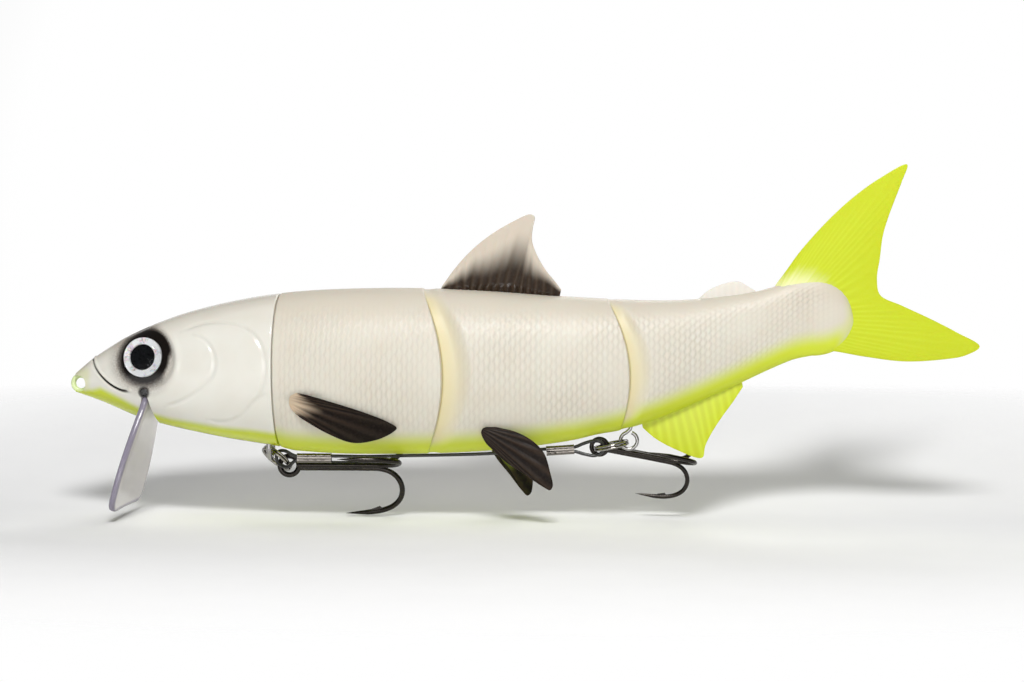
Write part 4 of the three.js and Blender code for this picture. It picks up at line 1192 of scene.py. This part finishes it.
LEADER_ROUTE = [
    [64.0, 0, -21.15], [60.6, 0, -21.15], [59.7, 0, -21.7], [58.5, 0, -22.9], [56.8, 0.4, -23.0],
    [55.2, 0.9, -22.0], [54.8, 0.95, -20.4], [55.4, 0.85, -18.9], [57.2, 0.2, -18.6], [60.2, 0, -19.95],
    [65.0, 0, -20.0], [70.4, 0, -19.95], [80.0, 0, -20.0], [91.0, 0, -19.7], [103.0, 0, -19.4],
    [115.0, 0, -18.9], [124.0, 0, -18.1], [130.0, 0, -17.57], [137.6, 0, -17.02], [140.2, 0, -16.0],
    [142.6, 0, -15.3], [144.8, 0, -15.5], [145.8, 0, -16.8], [145.2, 0, -18.4], [143.2, 0, -19.3],
    [140.4, 0, -18.9], [137.6, 0, -18.18], [134.5, 0, -18.40],
]
LEADER_SPLITS = (10, 16)  # the points of the route where its three pieces meet


def leader():
    """The coated wire: a loop on the front ring, the line under the belly and a loop on the rear ring."""
    whole = spline(LEADER_ROUTE, 640)
    meets = []
    for k in LEADER_SPLITS:
        meets.append(int(np.argmin(np.linalg.norm(whole - np.array(LEADER_ROUTE[k]), axis=1))))
    pieces = {
        "leader_front_loop": (0, meets[0], "head", "front_ring", 62.0, 58.0),
        "leader_line": (meets[0], meets[1], "head", "middle", *BENDS[("head", "middle")]),
        "leader_rear_loop": (meets[1], len(whole) - 1, "middle", "rear_ring", 138.0, 143.5),
    }
    for name, (first, last, a, b, start, end) in pieces.items():
        made = build(name, *sweep(whole[first : last + 1], LEADER_WIRE / 2, 16), COATED)
        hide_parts("leader_wire")
        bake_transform(made)


def crimp(name, start, end, body, node_name):
    """A double-barrelled sleeve, squeezed in the middle, open at both ends."""
    a, b = np.array(start, float), np.array(end, float)
    length = np.linalg.norm(b - a)
    along = (b - a) / length
    up = np.array([0, 0, 1.0]) - along * along[2]
    up /= np.linalg.norm(up)
    side = np.cross(along, up)
    turn = np.linspace(0, 2 * np.pi, 48, endpoint=False)
    waist = 1 - 0.34 * np.abs(np.sin(turn)) ** 5
    outer = np.stack([0.875 * np.sin(turn) * waist, 1.375 * np.cos(turn)], 1)
    inner = np.stack([0.62 * np.sin(turn), 1.12 * np.cos(turn)], 1)
    rings = []
    for s in np.linspace(0, 1, 60):
        press = 1 - 0.09 * sum(math.exp(-(((s - m) / 0.07) ** 2)) for m in (0.27, 0.5, 0.73))
        flare = 1 + 0.05 * (math.exp(-s / 0.03) + math.exp(-(1 - s) / 0.03)) - 0.05
        flat = outer * [press * flare, flare]
        rings.append(a + s * length * along + flat[:, :1] * side + flat[:, 1:] * up)
    for s in (1, 0):
        rings.append(a + s * length * along + inner[:, :1] * side + inner[:, 1:] * up)
    rings = np.array(rings)
    made = build(name, rings.reshape(-1, 3), tube_faces(len(rings), 48, wrap=True), CRIMP)
    face_out(made)
    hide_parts(node_name)
    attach(made, body)


leader()
crimp("front_crimp", (60.8, 0, -20.58), (70.4, 0, -20.55), "head", "front_crimp_sleeve")
crimp("rear_crimp", (130.0, 0, -18.15), (137.6, 0, -17.6), "middle", "rear_crimp_sleeve")

# ---- CAD nodes that stay ----

INNER = {
    NYLON: ["coupling_plug", "front_spine_link", "middle_spine_link", "tail_spine_link"],
    STEEL: ["coupling_pin", "front_hinge_pin"],
    LEAD: ["head_ballast"],
}
for finish, names in INNER.items():
    for name in names:
        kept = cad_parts[name]
        kept.data.materials.clear()
        kept.data.materials.append(finish)

# ---- Stage, lights and camera ----

FLOOR = min(low("front_treble_hook")[2], low("diving_lip")[2], low("rear_treble_hook")[2]) - 0.1
FLOOR_RISE = 26.0
LIGHT_AIM = (122, 0, 10)


def floor():
    """A round pale floor that rises a little behind the lure and fades out towards its rim."""
    radii = np.concatenate([[0.5], np.linspace(10, 600, 90)])
    turn = np.linspace(0, 2 * np.pi, 96, endpoint=False)
    flat = np.array([[AIM[0] + r * math.cos(t), r * math.sin(t)] for r in radii for t in turn])
    rise = FLOOR_RISE * ease(14, 150, flat[:, 1])
    points = np.column_stack([flat, FLOOR + rise])
    faces = tube_faces(len(radii), 96) + [list(range(96))]
    paper = new_material("floor_paper", (0.93, 0.93, 0.93), 0.9, Specular_IOR_Level=0.1)
    tone = ramp(paper, noise(paper, 60, 3), (0.3, 0.925), (0.7, 0.94))
    link(paper, tone, shader_of(paper).inputs["Base Color"])
    link(paper, attribute(paper, "solid"), shader_of(paper).inputs["Alpha"])
    made = build("floor", points, faces, paper)
    away = np.hypot((flat[:, 0] - AIM[0]) * 0.6, flat[:, 1])
    mark(made, "solid", ease(200, 90, away))


def area_light(name, at, toward, size, power):
    data = bpy.data.lights.new(name, "AREA")
    data.shape = "RECTANGLE"
    data.size, data.size_y = (s * MM for s in size)
    data.energy = power
    made = bpy.data.objects.new(name, data)
    made.location = Vector(at) * MM
    made.rotation_euler = (Vector(toward) - Vector(at)).to_track_quat("-Z", "Y").to_euler()
    bpy.context.scene.collection.objects.link(made)


def lights():
    """A key high in front, a low fill, a softbox above and a rim light behind, in a white world."""
    area_light("key", (160, -540, 500), LIGHT_AIM, (220, 120), 4.0)
    area_light("fill", (120, -700, 40), LIGHT_AIM, (520, 220), 1.1)
    area_light("softbox", (60, 60, 640), LIGHT_AIM, (620, 380), 0.6)
    area_light("rim", (260, 460, 420), LIGHT_AIM, (400, 240), 1.1)
    world = bpy.data.worlds.new("studio")
    world.use_nodes = True
    place = node(world, "ShaderNodeTexCoord").outputs["Generated"]
    parts = node(world, "ShaderNodeSeparateXYZ")
    link(world, place, parts.inputs["Vector"])
    tone = ramp(world, parts.outputs["Y"], (0.72, 0.08), (0.95, 1.0))
    below = times(world, parts.outputs["Z"], -12.0)
    tone = mix(world, below, tone, (1, 1, 1))
    link(world, tone, world.node_tree.nodes["Background"].inputs["Color"])
    world.node_tree.nodes["Background"].inputs["Strength"].default_value = 1.0
    bpy.context.scene.world = world


CAMERA = {"azimuth": 4.0, "elevation": 2.6, "distance": 540.0, "frame_width": 281.1}
AIM = (120.5, 0.0, 12.1)


def camera():
    a, e = math.radians(CAMERA["azimuth"]), math.radians(CAMERA["elevation"])
    away = Vector((math.sin(a) * math.cos(e), -math.cos(a) * math.cos(e), math.sin(e)))
    data = bpy.data.cameras.new("camera")
    data.sensor_width = 36
    data.lens = 36 * CAMERA["distance"] / CAMERA["frame_width"]
    data.clip_start, data.clip_end = 0.01, 20
    made = bpy.data.objects.new("camera", data)
    made.location = (Vector(AIM) + away * CAMERA["distance"]) * MM
    made.rotation_euler = (-away).to_track_quat("-Z", "Y").to_euler()
    bpy.context.scene.collection.objects.link(made)
    bpy.context.scene.camera = made


floor()
lights()
camera()
bpy.context.scene.view_settings.view_transform = "Standard"
